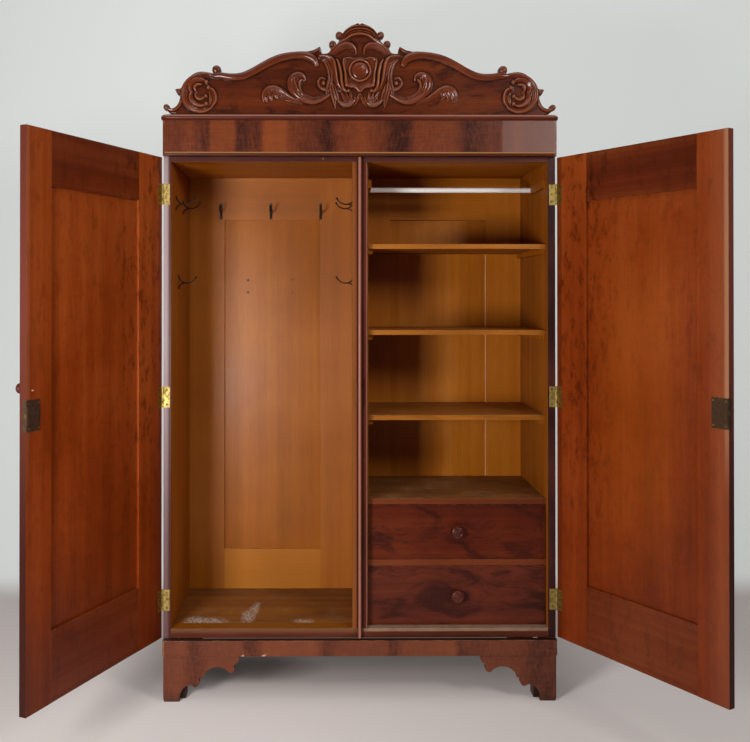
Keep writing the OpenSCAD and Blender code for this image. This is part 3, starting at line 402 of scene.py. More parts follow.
def eased(name, width=0.0012):
    """The piece that stands for a CAD node, with its corners eased and worn a little.
    Its attribute named wear is 1 along the eased corners."""
    piece = remodelled(name, "_eased", 0.00001, join_flat_faces)
    rounded(piece, width, limit_method="ANGLE", angle_limit=math.radians(35),
            harden_normals=True)
    mesh = piece.data
    worn = np.ones(len(mesh.vertices))
    for face in mesh.polygons:
        corners = [mesh.vertices[i].co for i in face.vertices]
        longest = max((a - b).length for a, b in zip(corners, corners[1:] + corners[:1]))
        if face.area > longest * width * 1.6:
            worn[list(face.vertices)] = 0
    mesh.attributes.new("wear", "FLOAT", "POINT").data.foreach_set("value", worn)
    return piece


def dress(finish, *pieces):
    for piece in pieces:
        piece.data.materials.clear()
        piece.data.materials.append(finish.material)


def worn_edges(colour, pale, share=0.8):
    """The colour rubbed towards a paler one along eased corners."""
    patches = colour.finish.place.noise(34, 3.0).rise(0.42, 0.62)
    return colour.tinted(pale, colour.finish.attribute("wear") * patches * share)


def spotted(colour, spots, mark):
    """Small marks [x, z, radius] on an upright board, such as chips and screw holes."""
    place = colour.finish.place
    flat = place.stretch(1, 0, 1)
    ragged = (place.noise(260) - 0.5) * 0.8 + 1
    for x, z, radius in spots:
        near = (flat.away((x, 0.0, z)) * ragged).fall(radius * 0.7, radius * 1.1)
        colour = colour.tinted(mark, near)
    return colour


def veneered(name, leaves, tones, chips=(), painted_reflection_from=2.0):
    """Upright flame veneer. leaves says how bright the leaves are at places along the
    front, from 0 at its left end to 1 at its right, and they repeat on the sides. The
    front has a greyish painted reflection to the right of the x that comes last."""
    finish = Finish(name)
    place = finish.place
    along = (place.x + (place.y + 0.268) * 0.9) / 1.4 + 0.5
    waver = place.streaks(9, 26, 5.0, 0.65)
    along = finish.sum("PINGPONG", along + (waver - 0.5) * 0.022, 1.0)
    bright = along.ramp(*((spot, (tone, tone, tone)) for spot, tone in leaves))
    feather = place.streaks(75, 18, 5.0, 0.7, 1.6)
    curl = place.streaks(46, 15, 5.0, 0.7, 2.2).rise(0.46, 0.58)
    hair = place.streaks(620, 9, 3.0, 0.6)
    shimmer = place.streaks(16, 110)
    tone = bright + (feather - 0.5) * 1.1 * (1.15 - bright) + (hair - 0.5) * 0.3
    tone = tone - curl * (0.95 - bright) * 0.2 + (shimmer - 0.5) * 0.35
    colour = tone.ramp(*zip((0.0, 0.45, 0.95), tones))
    # Painted reflection: right of that x the front turns greyish.
    painted_reflection = place.x.rise(painted_reflection_from, painted_reflection_from + 0.012) * place.y.fall(-0.266, -0.262)
    colour = colour.tinted("#7d5a50", painted_reflection * 0.6)
    # Upward faces, such as the ledge in front of the case, are darkened almost to black.
    colour = colour.tinted("#1c0c06", finish.upward * 0.92)
    colour = worn_edges(colour, "#9a6a4a", 0.6)
    colour = spotted(colour, chips, "#b98d6c")
    grime = (place.z + (feather - 0.5) * 0.05).fall(-0.01, 0.055)
    seam = place.z.rise(0.1580, 0.1592) * place.z.fall(0.1600, 0.1612)
    colour = colour.tinted("#33241c", grime * 0.65 + seam * 0.5)
    # Painted shade: front-facing faces set back behind the front, such as the back feet, are painted
    # dark.
    behind = place.y.rise(-0.255, -0.248) * (0 - finish.world_normal.y).rise(0.5, 0.7)
    colour = colour.tinted("#23150f", behind * 0.85)
    finish.lay(colour, 0.34 + (feather - 0.5) * 0.2, hair, 0.00008, Coat_Weight=0.06,
               Specular_IOR_Level=0.22, Coat_Roughness=0.2)
    return finish


plinth_leaves = [(0.0, 0.5), (0.05, 0.62), (0.08, 0.3), (0.12, 0.55), (0.2, 0.6), (0.22, 0.2),
                 (0.25, 0.5), (0.26, 0.78), (0.36, 0.72), (0.38, 0.85), (0.41, 0.35),
                 (0.45, 0.55), (0.56, 0.6), (0.58, 0.25), (0.61, 0.62), (0.72, 0.75),
                 (0.735, 0.85), (0.75, 0.35), (0.82, 0.5), (0.9, 0.55), (0.94, 0.28), (1.0, 0.4)]
missing = [(-0.414, 0.162, 0.005), (-0.341, 0.161, 0.007), (-0.335, 0.166, 0.003)]
base_veneer = veneered("base_flame_veneer", plinth_leaves, ("#331810", "#643220", "#7c4227"),
                       missing)
for node in ("plinth_front", "plinth_frame", "foot_front_left", "foot_front_right",
             "foot_back_left", "foot_back_right"):
    dress(base_veneer, eased(node, 0.0018))


# Case. The sides, the partition and the framed rear wall are pine boards with a thin
# ochre stain inside; outside and along their front edges they are mahogany coloured.
ochre_tones = ("#6e3902", "#985206", "#b66e20")
edge_tones = ("#2a1210", "#4c2520", "#683a32")
side_tones = ("#260e09", "#532415", "#743c22")
raw_tones = ("#6e4a2e", "#9c744c", "#bd966c")
inner_x = 0.673
panel_half = 0.1944
panel_foot = 0.41
panel_head = 1.744
line = 0.0002


def blend(a, b, mask):
    return a + (b - a) * mask


def behind_edge(place):
    """0 on the front edges of the case and 1 behind them."""
    return place.y.rise(-0.2396, -0.2390)


def dusted(colour, amount):
    """Dust and dark stains that lie on upward faces."""
    finish = colour.finish
    place = finish.place
    patch = place.noise(7.5, 5.0, 0.7).rise(0.5, 0.75)
    speck = place.noise(210, 3.0, 0.7).rise(0.42, 0.7)
    stain = place.noise(11, 5.0, 0.75, 0.8).rise(0.5, 0.62)
    colour = colour.tinted("#2a160b", finish.upward * stain * 0.3 * amount)
    lying = finish.upward * (patch * speck * 0.6 + patch * 0.1 + 0.06)
    return colour.tinted("#b5a58c", lying * amount)


def scuffed(colour, places):
    """White scuffs on a floor, at places [x, y, half width, half depth]."""
    finish = colour.finish
    place = finish.place
    bent = (place.noise(9, 2.0, 0.6) - 0.5) * 0.05
    scratch = place.stretch(150, 60, 1).noise(1.0, 4.0, 0.7).rise(0.34, 0.7)
    for x, y, *halves in places:
        near = oval(place.x + bent, place.y + bent, (x, y), halves)
        colour = colour.tinted("#cfc8bc", finish.upward * near * scratch * 0.7)
    return colour


def stained(name, grain="up", dust=0.0, tones=ochre_tones, faced=False, worn_to="#7b4a22",
            scuffs=()):
    """Stained pine, its grain upright or along X. A faced board has a mahogany front edge."""
    finish = Finish(name)
    place = finish.place
    if grain == "along":
        place = level_along(place)
    colour, rough, height = wood(place, *tones, rings=8, ribbon=0.25, fibre=0.35,
                                 pores=0.15, gloss=0.46)
    if faced:
        edge = wood(place, *edge_tones, fibre=0.3)[0]
        colour = colour.tinted(edge, 1 - behind_edge(finish.place))
    colour = worn_edges(colour, worn_to, 0.7)
    if dust:
        colour = dusted(colour, dust)
    if scuffs:
        colour = scuffed(colour, scuffs)
    finish.lay(colour, rough, height, Specular_IOR_Level=0.15)
    return finish


def case_side(name, sign):
    """A side board, ochre on the face that looks inward. The sign is 1 for the left one,
    whose front edge has a pale painted highlight near its outer corner; the right one's
    front edge is darkened in streaks."""
    finish = Finish(name)
    place = finish.place
    ochre, rough, height = wood(place, *ochre_tones, ribbon=0.25, fibre=0.35, pores=0.15,
                                gloss=0.46)
    outer, outer_rough, _ = wood(place, *side_tones, ribbon=0.4, fibre=0.3, gloss=0.36)
    inside = (place.x * sign).rise(-inner_x - 0.0004, -inner_x + 0.0002)
    behind = behind_edge(place)
    outer = clouded(outer, place, side_tones[0], 3.0, 13.0, 0.46, 0.6)
    outer = outer.tinted(edge_tones[1], (1 - behind) * 0.75)
    if sign > 0:
        # Painted highlight along the outer corner of the left front edge, stronger upward.
        wear_and_highlight = (0 - place.x).rise(0.677, 0.690) * (1 - behind)
        outer = outer.tinted("#b9a6a6", wear_and_highlight * (place.z.rise(0.2, 1.7) * 0.5 + 0.15))
    else:
        murky = place.streaks(9, 5, 3.0).rise(0.35, 0.65)
        outer = outer.tinted("#1c0c0e", (1 - behind) * (murky * 0.5 + 0.25))
    colour = worn_edges(outer.tinted(ochre, inside * behind), "#a87858")
    finish.lay(colour, blend(outer_rough, rough, inside * behind), height,
               Specular_IOR_Level=0.15)
    return finish


dress(case_side("left_side_boards", 1), eased("side_left"))
dress(case_side("right_side_boards", -1), eased("side_right"))

upright_ochre = stained("upright_ochre_pine")
shelf_tones = ("#6e3c08", "#9c5a16", "#b8783a")
long_ochre = stained("long_ochre_pine", "along", 0.5, shelf_tones, worn_to="#b98a5a")
floor_tones = ("#4a2806", "#7c460c", "#985a16")
dress(upright_ochre, eased("partition"))
floor_scuffs = [(-0.405, -0.11, 0.032, 0.1), (-0.385, -0.02, 0.022, 0.08),
                (-0.53, -0.17, 0.08, 0.06), (-0.6, -0.16, 0.05, 0.06), (-0.2, -0.17, 0.05, 0.04)]
dress(stained("case_floor_pine", "along", 0.5, floor_tones, scuffs=floor_scuffs),
      eased("case_bottom"))
dress(stained("case_ceiling_pine", "along", faced=True), eased("case_top"))


def rear_wall(name, centre, tones, polish, holes, joint):
    """Rails run along X and the rest upright; the outer face is raw. holes are empty screw
    holes, and joint is the place of a shrunken joint that shows pale wood, if any."""
    finish = Finish(name)
    place = finish.place
    off = finish.sum("ABSOLUTE", place.x - centre)
    between = off.fall(panel_half - line, panel_half + line)
    high = place.z.rise(panel_head - line, panel_head + line)
    low = place.z.fall(panel_foot - line, panel_foot + line)
    shifted = finish.vector("ADD", place, (0.0, 0.0, 3.7))
    turned = finish.node("ShaderNodeMix", {"data_type": "VECTOR"},
                         {0: between * (high + low), 4: shifted, 5: level_along(place)}, 1)
    colour, rough, height = wood(turned, *tones, ribbon=0.18, fibre=0.3, pores=0.2, gloss=0.42)
    colour = colour.tinted(tones[1], (1 - between * (1 - high - low)) * 0.25)
    colour = colour.tinted("#c47c16", between * low * 0.4)
    raw, raw_rough, _ = wood(turned, *raw_tones, rings=34, fibre=0.4, pores=0.2, gloss=0.75)
    if joint:
        crack = finish.sum("ABSOLUTE", place.x - joint).fall(0.0010, 0.0016)
        crack = crack * place.z.rise(0.66, 0.68) * place.z.fall(1.6, 1.62)
        colour = colour.tinted("#d9a884", crack * 0.75)
    colour = spotted(colour, holes, "#3a1006")
    outside = finish.normal.y.rise(0.3, 0.6)
    colour = worn_edges(colour.tinted(raw, outside), "#6d4019", 0.9)
    finish.lay(colour, blend(rough, raw_rough, outside), height, Specular_IOR_Level=polish)
    return finish


screw_holes = [(-0.436, 1.499, 0.0055), (-0.436, 1.45, 0.0055), (-0.255, 1.502, 0.0035),
               (-0.255, 1.45, 0.0035)]
left_tones = ("#784004", "#a45a07", "#c4781e")
right_tones = ("#7c4308", "#ae620e", "#cc8434")
dress(rear_wall("left_rear_wall", -0.3365, left_tones, 0.44, screw_holes, 0), eased("back_left"))
dress(rear_wall("right_rear_wall", 0.3365, right_tones, 0.2, [], 0.5305), eased("back_right"))


# Front edges of the case: the bottom rail and the centre stile, whose half-round bead
# stops the doors. They are plain purplish-brown mahogany. The rail is rubbed by the doors,
# and the stile has painted highlights along its bead and its right edge.
polished = {"Coat_Weight": 0.06, "Coat_Roughness": 0.2, "Specular_IOR_Level": 0.15}


def plain_mahogany(name, tones, grain="up", gloss=0.34, dust=0.0, clouds=None, wear_and_highlight=None):
    """Polished mahogany. clouds is the dark figure that clouded() lays on it, and the last
    colour is a painted highlight on the upper side."""
    finish = Finish(name)
    place = finish.place
    if grain == "along":
        place = level_along(place)
    colour, rough, height = wood(place, *tones, gloss=gloss)
    if clouds:
        colour = clouded(colour, place, tones[0], *clouds)
    colour = worn_edges(colour, "#8d5a40", 0.6)
    # Painted highlight on the upper side.
    if wear_and_highlight:
        colour = colour.tinted(wear_and_highlight, finish.world_normal.z.rise(0.05, 0.5) * 0.75)
    if dust:
        colour = dusted(colour, dust)
    finish.lay(colour, rough, height, **polished)
    return finish


rail_wood = Finish("bottom_rail_mahogany")
place = rail_wood.place
colour, rough, height = wood(level_along(place), "#2c1209", "#57291a", "#703e2a")
right_bay = place.x.rise(0.0, 0.03)
upper = place.z.rise(0.226, 0.246)
strip = place.z.rise(0.2365, 0.2405) * (place.noise(14, 4.0, 0.7) + 0.25)
colour = colour.tinted("#94694c", upper * (1 - right_bay) * 0.3)
colour = colour.tinted("#9c8068", strip * right_bay * 0.85)
colour = colour.tinted("#7c4810", rail_wood.upward * (1 - right_bay))
colour = worn_edges(colour, "#a07c62", 0.5)
rail_wood.lay(colour, rough, height, Specular_IOR_Level=0.08)
dress(rail_wood, eased("bottom_rail"))

stile_wood = Finish("centre_stile_mahogany")
place = stile_wood.place
colour, rough, height = wood(place, "#2c0d06", "#501c0e", "#6c3424", fibre=0.3)
# Painted highlights: a pale line on the left half of the bead and a mauve line down the stile's right
# edge.
bead = place.y.fall(-0.2420, -0.2405)
highlight = place.x.rise(-0.0068, -0.0035) * place.x.fall(0.0, 0.0062)
stripe = place.x.rise(0.0218, 0.0232) * (1 - bead)
colour = colour.tinted("#b07a64", bead * highlight * 0.65)
colour = colour.tinted("#8c625a", stripe * 0.55)
colour = colour.tinted("#83481c", place.x.fall(-0.0120, -0.0105))
stile_wood.lay(colour, rough, height, **polished)
dress(stile_wood, eased("centre_stile", 0.0008))


# Cornice: a frieze veneered with upright flame leaves, a bead at its foot, a half-round
# moulding round the top, and the rough top board that nobody sees. The bead and the
# moulding have a painted highlight on their upper sides.
frieze_leaves = [(0.0, 0.55), (0.04, 0.45), (0.07, 0.6), (0.1, 0.35), (0.115, 0.3), (0.122, 0.68),
                 (0.18, 0.7), (0.19, 0.2), (0.23, 0.35), (0.245, 0.3), (0.26, 0.85),
                 (0.31, 0.82), (0.32, 0.55), (0.38, 0.4), (0.42, 0.15), (0.445, 0.5),
                 (0.51, 0.68), (0.56, 0.4), (0.59, 0.12), (0.62, 0.2), (0.645, 0.58),
                 (0.74, 0.6), (0.77, 0.2), (0.8, 0.28), (0.83, 0.45), (0.885, 0.42),
                 (0.895, 0.72), (0.925, 0.4), (1.0, 0.35)]
frieze_veneer = veneered("frieze_flame_veneer", frieze_leaves, ("#30140d", "#602b16", "#84401c"),
                         painted_reflection_from=0.5)
dress(frieze_veneer, eased("frieze_front", 0.0015), eased("frieze_frame", 0.0015))
highlit_bead = plain_mahogany("frieze_bead_mahogany", ("#2e130a", "#4a2210", "#66341a"), "along",
                        wear_and_highlight="#b87e46")
dress(highlit_bead, nodes["frieze_bead"])
cornice = plain_mahogany("cornice_mahogany", ("#2e100a", "#542216", "#723c2a"), "along",
                         dust=0.15, wear_and_highlight="#a6705a")
dress(cornice, nodes["cornice_moulding"])
raw_board = Finish("raw_pine")
colour, rough, height = wood(level_along(raw_board.place), *raw_tones, rings=30, gloss=0.75)
raw_board.lay(dusted(colour, 1.0), rough, height, 0.00015)
dress(raw_board, eased("cornice_board"), eased("crest_blocks"))


# Crest. One mahogany board, sawn to its outline, carved from the front and polished:
# rolls that follow the upper edge, scrolled leaves round a shield with a domed boss, and
# nested scrolls with pearls at the ends. It stands for all the solids of the crest but
# the blocks behind it.
#
# The carving is drawn for one half in millimetres, u out from the middle and v up from
# the cornice. A run is cut along stations [u, v, half width, height], and a run with a
# rim has it along its right-hand edge, with a hollow behind it, which has veins if the run
# is veined. A leaf has a groove down its middle.
carving = [
    # Roll along the upper edge, from the end scroll to the bulb beside the shield
    ("round", [[532, 141, 6, 5], [512, 140, 11, 9], [490, 140, 13, 11], [466, 136, 14, 12],
        [440, 135, 14, 13], [410, 140, 14, 13], [380, 154, 14, 13], [350, 171, 14, 14],
        [315, 190, 15, 14], [280, 204, 15, 14], [240, 212, 15, 15], [205, 213, 15, 15],
        [180, 207, 15, 16], [163, 195, 13, 15], [154, 179, 9, 11]]),
    # Leaf tip over the bulb
    ("leaf", [[210, 219, 4, 3], [180, 222, 7, 6], [158, 230, 8, 8], [143, 241, 4, 5]]),
    # Outer leaf that rolls over at its tip, with tongues under the roll
    ("veined", [[341, 48, 4, 5], [340, 66, 10, 9], [330, 82, 15, 12], [311, 89, 17, 14],
        [290, 84, 16, 13], [270, 72, 13, 12], [250, 60, 11, 11], [230, 51, 9, 10], [206, 45, 8, 8]]),
    ("leaf", [[330, 47, 4, 6], [333, 62, 10, 10], [324, 78, 12, 12]]),
    ("leaf", [[312, 52, 4, 6], [316, 66, 10, 10], [308, 80, 12, 12]]),
    ("leaf", [[293, 58, 4, 5], [298, 68, 9, 9], [290, 78, 11, 11]]),
    # C-scroll: a stem that widens to a broad leaf and turns over at its head
    ("veined", [[106, 74, 6, 7], [124, 64, 9, 10], [146, 54, 12, 12], [168, 50, 14, 13],
        [192, 56, 16, 14], [211, 67, 19, 16], [226, 84, 22, 17], [234, 104, 24, 17], [234, 124, 22, 16],
        [220, 138, 16, 14], [203, 136, 10, 11], [197, 124, 6, 8]]),
    ("round", [[207, 124, 5, 10], [214, 116, 6, 12], [216, 102, 6, 13], [211, 86, 6, 12],
        [200, 72, 5, 10], [186, 64, 4, 8]]),
    ("round", [[234, 128, 4, 16], [230, 110, 5, 18], [223, 92, 5, 17], [212, 76, 4, 14]]),
    # Leaf curl with a pearl, inside the C-scroll
    ("rim", [[98, 84, 5, 7], [112, 88, 7, 9], [128, 92, 8, 10], [141, 102, 8, 10], [146, 117, 7, 10],
        [137, 129, 6, 9], [125, 127, 4, 7]]),
    # Stem beside the shield: a leaf folded over at its head and its falling strands
    ("rim", [[143, 208, 5, 7], [126, 205, 9, 12], [108, 198, 13, 15], [98, 184, 13, 17],
        [93, 163, 12, 17], [89, 139, 11, 16], [85, 118, 10, 14], [77, 101, 8, 11], [64, 88, 6, 8]]),
    ("leaf", [[134, 195, 4, 7], [120, 186, 8, 11], [111, 168, 10, 13], [106, 148, 10, 13],
        [105, 128, 10, 13], [109, 108, 10, 13], [114, 88, 9, 11], [118, 62, 4, 6]]),
    ("leaf", [[102, 126, 5, 11], [102, 106, 9, 14], [99, 84, 10, 14], [93, 60, 9, 12], [89, 40, 6, 9],
        [88, 25, 2, 4]]),
    ("leaf", [[92, 104, 5, 10], [88, 84, 8, 12], [82, 64, 8, 11], [76, 48, 5, 7]]),
    # Bowl under the shield: a deep crescent with a thick lip
    ("rim", [[18, 62, 4, 7], [24, 48, 8, 10], [36, 39, 11, 12], [52, 37, 11, 12], [67, 44, 9, 11],
        [79, 55, 5, 8]]),
    ("leaf", [[66, 80, 3, 5], [58, 64, 6, 9], [50, 50, 7, 10]]),
    ("leaf", [[50, 78, 3, 5], [45, 64, 6, 9], [41, 50, 7, 10]]),
    ("leaf", [[34, 84, 3, 5], [33, 68, 6, 9], [31, 53, 6, 9]]),
    ("leaf", [[2, 74, 4, 8], [8, 58, 6, 11], [16, 44, 6, 10], [25, 29, 2, 5]]),
    # Frames of the shield, each ending in a small curl
    ("round", [[82, 196, 4, 9], [76, 184, 5, 13], [71, 166, 6, 14], [67, 144, 6, 14], [65, 118, 6, 14],
        [61, 97, 7, 14], [51, 85, 6, 13], [40, 84, 5, 10]]),
    ("round", [[58, 199, 4, 8], [58, 186, 5, 12], [55, 166, 5, 13], [51, 144, 5, 13], [49, 122, 7, 14],
        [45, 107, 7, 14], [34, 101, 5, 11], [22, 100, 5, 11], [11, 94, 5, 11], [2, 84, 5, 10]]),
    # Shoulder leaf over the shield: its outer edge and the fold that turns down
    ("rim", [[128, 217, 5, 7], [110, 221, 9, 11], [92, 232, 12, 13], [74, 246, 13, 14],
        [58, 260, 11, 13], [46, 270, 7, 10]]),
    ("rim", [[112, 214, 5, 7], [92, 222, 10, 12], [72, 236, 13, 16], [52, 245, 13, 17],
        [33, 244, 12, 16], [20, 234, 8, 14], [15, 218, 4, 8]]),
    # Shell: its fluted arch, the fillet inside it and the little leaves at the top
    ("fluted", [[66, 268, 6, 9], [58, 284, 10, 13], [46, 297, 13, 16], [30, 306, 14, 17],
        [14, 310, 15, 18], [-2, 311, 15, 18]]),
    ("round", [[54, 262, 4, 9], [46, 272, 5, 11], [32, 282, 5, 12], [16, 287, 5, 13],
        [-2, 289, 5, 13]]),
    ("leaf", [[20, 320, 3, 8], [11, 324, 5, 11], [4, 318, 4, 10]]),
    # End ornament: outer scroll, nested crescents, the bud inside and the tail curl
    ("veined", [[526, 28, 5, 7], [541, 19, 8, 10], [562, 15, 11, 12], [585, 20, 13, 14],
        [606, 34, 15, 15], [619, 55, 15, 16], [622, 80, 15, 16], [615, 103, 15, 16], [598, 122, 15, 16],
        [577, 134, 13, 15], [555, 141, 11, 12], [534, 142, 7, 8]]),
    ("rim", [[598, 80, 7, 10], [603, 97, 10, 13], [596, 113, 12, 15], [580, 122, 11, 15],
        [562, 123, 9, 13], [549, 117, 5, 9]]),
    ("round", [[584, 84, 4, 9], [587, 97, 6, 12], [579, 107, 6, 13], [565, 108, 5, 10]]),
    ("rim", [[550, 38, 5, 9], [566, 34, 9, 12], [584, 39, 11, 15], [597, 52, 11, 15], [600, 68, 9, 12],
        [595, 80, 5, 9]]),
    ("rim", [[552, 66, 5, 10], [564, 58, 8, 12], [576, 60, 8, 12], [582, 70, 6, 10], [577, 80, 4, 7]]),
    ("rim", [[539, 92, 5, 9], [525, 86, 9, 12], [517, 68, 10, 13], [517, 48, 9, 12], [526, 33, 6, 8]]),
    ("leaf", [[534, 76, 4, 8], [530, 62, 6, 10], [531, 46, 6, 10], [537, 34, 3, 5]]),
    ("round", [[634, 66, 6, 7], [637, 45, 7, 9], [647, 28, 7, 9], [663, 18, 7, 9], [680, 20, 6, 9],
        [687, 28, 5, 9]]),
    ("leaf", [[628, 78, 6, 9], [641, 84, 8, 10], [653, 91, 4, 6]]),
]
pearls = [
    # [u, v, radius, height]
    [130, 112, 8, 13], [104, 88, 6, 15], [545, 116, 8, 15], [537, 96, 8, 15],
    [547, 66, 7, 14], [546, 39, 8, 14], [688, 28, 11, 9], [510, 161, 16, 12],
    [97, 253, 13, 11], [74, 286, 12, 10], [41, 85, 7, 14], [47, 106, 8, 15],
]
shield = [[0, 206], [20, 204], [38, 208], [58, 202], [62, 184], [58, 156], [54, 130],
          [51, 110], [40, 102], [24, 100], [12, 95], [0, 84]]


def smooth_run(stations, steps=6):
    """A smooth run through the given stations."""
    points = np.array(stations, float)
    ends = np.vstack([points[:1], points, points[-1:]])
    run = []
    for a, b, c, d in zip(ends, ends[1:], ends[2:], ends[3:]):
        for t in np.arange(steps) / steps:
            run.append(0.5 * (2 * b + (c - a) * t + (2 * a - 5 * b + 4 * c - d) * t * t
                              + (3 * b - a - 3 * c + d) * t ** 3))
    return np.array(run + [points[-1]])


def nearest(points, run, widths=None):
    """Where points lie from a run: their distance, over its half width if that is given,
    with a minus sign on its left, and how far along it the nearest place is."""
    best = np.full(len(points), 1e9)
    signed = np.zeros(len(points))
    along = np.zeros(len(points))
    for i in range(len(run) - 1):
        start = run[i, :2]
        chord = run[i + 1, :2] - start
        share = np.clip((points - start) @ chord / max(chord @ chord, 1e-9), 0, 1)
        off = points - start - share[:, None] * chord
        away = np.hypot(off[:, 0], off[:, 1])
        if widths is not None:
            away = away / (widths[i] + (widths[i + 1] - widths[i]) * share)
        closer = away < best
        hand = np.where(chord[0] * off[:, 1] > chord[1] * off[:, 0], -1, 1)
        best[closer] = away[closer]
        signed[closer] = (away * hand)[closer]
        along[closer] = (i + share)[closer]
    return signed, along


def section(kind, t):
    """The carver's section across a run, t from -1 at its left edge to 1 at its right."""
    back = np.sqrt(np.clip(1 - t * t, 0, 1))
    if kind in ("rim", "veined"):
        crown = np.sqrt(np.clip(1 - ((t - 0.35) / 0.65) ** 2, 0, 1))
        hollow = np.clip((t + 1) / 1.35, 0, 1) ** 1.3
        if kind == "veined":
            hollow = hollow + 0.17 * np.cos(5 * math.pi * (t + 0.05)) * (1 - hollow ** 6)
        back = np.where(t > 0.35, crown, 0.4 * back + 0.6 * hollow)
    elif kind == "leaf":
        back = back ** 0.8 * (0.85 - 0.32 * np.exp(-(t / 0.24) ** 2))
    elif kind == "fluted":
        back = back ** 0.7 * (0.74 + 0.26 * np.cos(3 * math.pi * (t - 0.33)))
    return np.where(np.abs(t) < 1, back, 0)


def over(under, added, soften=1.2):
    """The higher of two carved heights, with a soft valley where they meet."""
    valley = np.clip(soften - np.abs(under - added), 0, None) ** 2 / (4 * soften)
    return np.maximum(under, added) + np.where(np.minimum(under, added) > 0.2, valley, 0)


def within(points, outline):
    """Which points lie inside a closed outline."""
    odd = np.zeros(len(points), bool)
    for (u0, v0), (u1, v1) in zip(outline, np.roll(outline, -1, 0)):
        if v0 != v1:
            spans = (points[:, 1] > min(v0, v1)) & (points[:, 1] <= max(v0, v1))
            odd ^= spans & (points[:, 0] < u0 + (points[:, 1] - v0) / (v1 - v0) * (u1 - u0))
    return odd


def add_run(height, points, kind, stations):
    """Adds one carved run to the height of the points."""
    run = smooth_run(stations)
    reach = run[:, 2].max() + 1
    low, high = run[:, :2].min(0) - reach, run[:, :2].max(0) + reach
    near = ((points > low) & (points < high)).all(1)
    off, along = nearest(points[near], run, run[:, 2])
    tall = np.interp(along, np.arange(len(run)), run[:, 3])
    height[near] = over(height[near], tall * section(kind, off))


def carve(points):
    """Height of the carving over the ground, in millimetres, at points of one half."""
    edge = smooth_run(shield)
    inward = np.abs(nearest(points, edge)[0])
    plate = 8 * np.clip(inward / 4, 0, 1) ** 0.6 - 3 * np.clip((inward - 6) / 5, 0, 1)
    height = np.where(within(points, np.vstack([edge, [[-2, 84], [-2, 206]]])), plate, 0)
    for kind, stations in carving:
        add_run(height, points, kind, stations)
    for u, v, radius, tall in pearls:
        away = np.hypot(points[:, 0] - u, points[:, 1] - v) / radius
        height = over(height, tall * np.sqrt(np.clip(1 - away ** 2, 0, 1)), 0.5)
    # The boss: a dome in a sunk trench and a raised ring
    away = np.hypot(points[:, 0], points[:, 1] - 157)
    dome = 6 + 8 * np.sqrt(np.clip(1 - (away / 31) ** 2, 0, 1))
    ring = 15 * np.sqrt(np.clip(1 - ((away - 37) / 5) ** 2, 0, 1))
    return over(np.where(away < 35, dome, height), ring)


def sawn_outline():
    """The outline of the crest board, in millimetres, from its flat back."""
    board = bmesh.new()
    board.from_mesh(nodes["crest_board"].data)
    bmesh.ops.remove_doubles(board, verts=board.verts, dist=0.00001)
    for face in board.faces:
        middle = face.calc_center_median()
        face.tag = face.normal.y > 0.99 and middle.y > board_high.y - 0.0001
    ahead = {}
    for face in board.faces:
        for loop in face.loops:
            if face.tag and sum(f.tag for f in loop.edge.link_faces) == 1:
                ahead[loop.vert] = loop.link_loop_next.vert
    here = first = next(iter(ahead))
    outline = []
    while here is not first or not outline:
        outline.append([here.co.x * 1000, (here.co.z - board_low.z) * 1000])
        here = ahead[here]
    board.free()
    return np.array(outline)


# Points stand close together on the carving and wider on the plain ground. They are
# joined into triangles inside the sawn outline and raised to the height of the carving.
# The front arris is rounded, and straight walls join it to the flat back.
board_low, board_high = (Vector(corner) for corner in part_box("crest_board"))
board_thick = 0.024
crest_ground = board_high.y - board_thick
outline = sawn_outline()
closed = np.vstack([outline, outline[:1]])
pitch = 1.8
points_across, points_up = 391, 213
columns, rows = np.meshgrid(np.arange(points_across), np.arange(points_up))
half = np.column_stack([(columns * pitch + rows % 2 * pitch / 2).ravel(),
                        (rows * pitch * 0.866 + 0.5).ravel()])
carved = carve(half).reshape(columns.shape) > 0
for _ in range(2):
    grown = carved.copy()
    grown[1:] |= carved[:-1]
    grown[:-1] |= carved[1:]
    grown[:, 1:] |= carved[:, :-1]
    grown[:, :-1] |= carved[:, 1:]
    carved = grown
half = half[(carved | ((columns % 4 == 0) & (rows % 4 == 0))).ravel()]
field = np.vstack([half, half[half[:, 0] > 0.01] * [-1, 1]])
clear = np.abs(nearest(field, closed)[0]) > 0.7 * pitch
field = field[within(field, outline) & clear]
walls = [(i, (i + 1) % len(outline)) for i in range(len(outline))]
joined = delaunay_2d_cdt([Vector(p) for p in np.vstack([outline, field]).tolist()],
                         walls, [], 1, 0.00001, False)
flat = np.array([[p.x, p.y] for p in joined[0]])
triangles = np.array(joined[2])
triangles = triangles[within(flat[triangles].mean(1), outline)]
tall = carve(np.column_stack([np.abs(flat[:, 0]), flat[:, 1]]))
bud_on_boss = [[-22, 138, 2, 12], [-15, 144, 7, 16], [-4, 153, 8, 18], [7, 163, 9, 20],
               [15, 172, 6, 17], [20, 178, 2, 12]]
add_run(tall, flat, "leaf", bud_on_boss)
arris = 4.0
inward = np.abs(nearest(flat, closed)[0])
fall = arris - np.sqrt(arris ** 2 - np.clip(arris - inward, 0, arris) ** 2)
fall[flat[:, 1] < 2] = 0
links = np.vstack([triangles[:, [i, i - 1]] for i in range(3)])
count = np.bincount(links[:, 0], minlength=len(flat))
mean = tall.copy()
for _ in range(8):
    total = np.bincount(links[:, 0], mean[links[:, 1]], len(flat))
    mean = 0.5 * mean + 0.5 * total / np.maximum(count, 1)

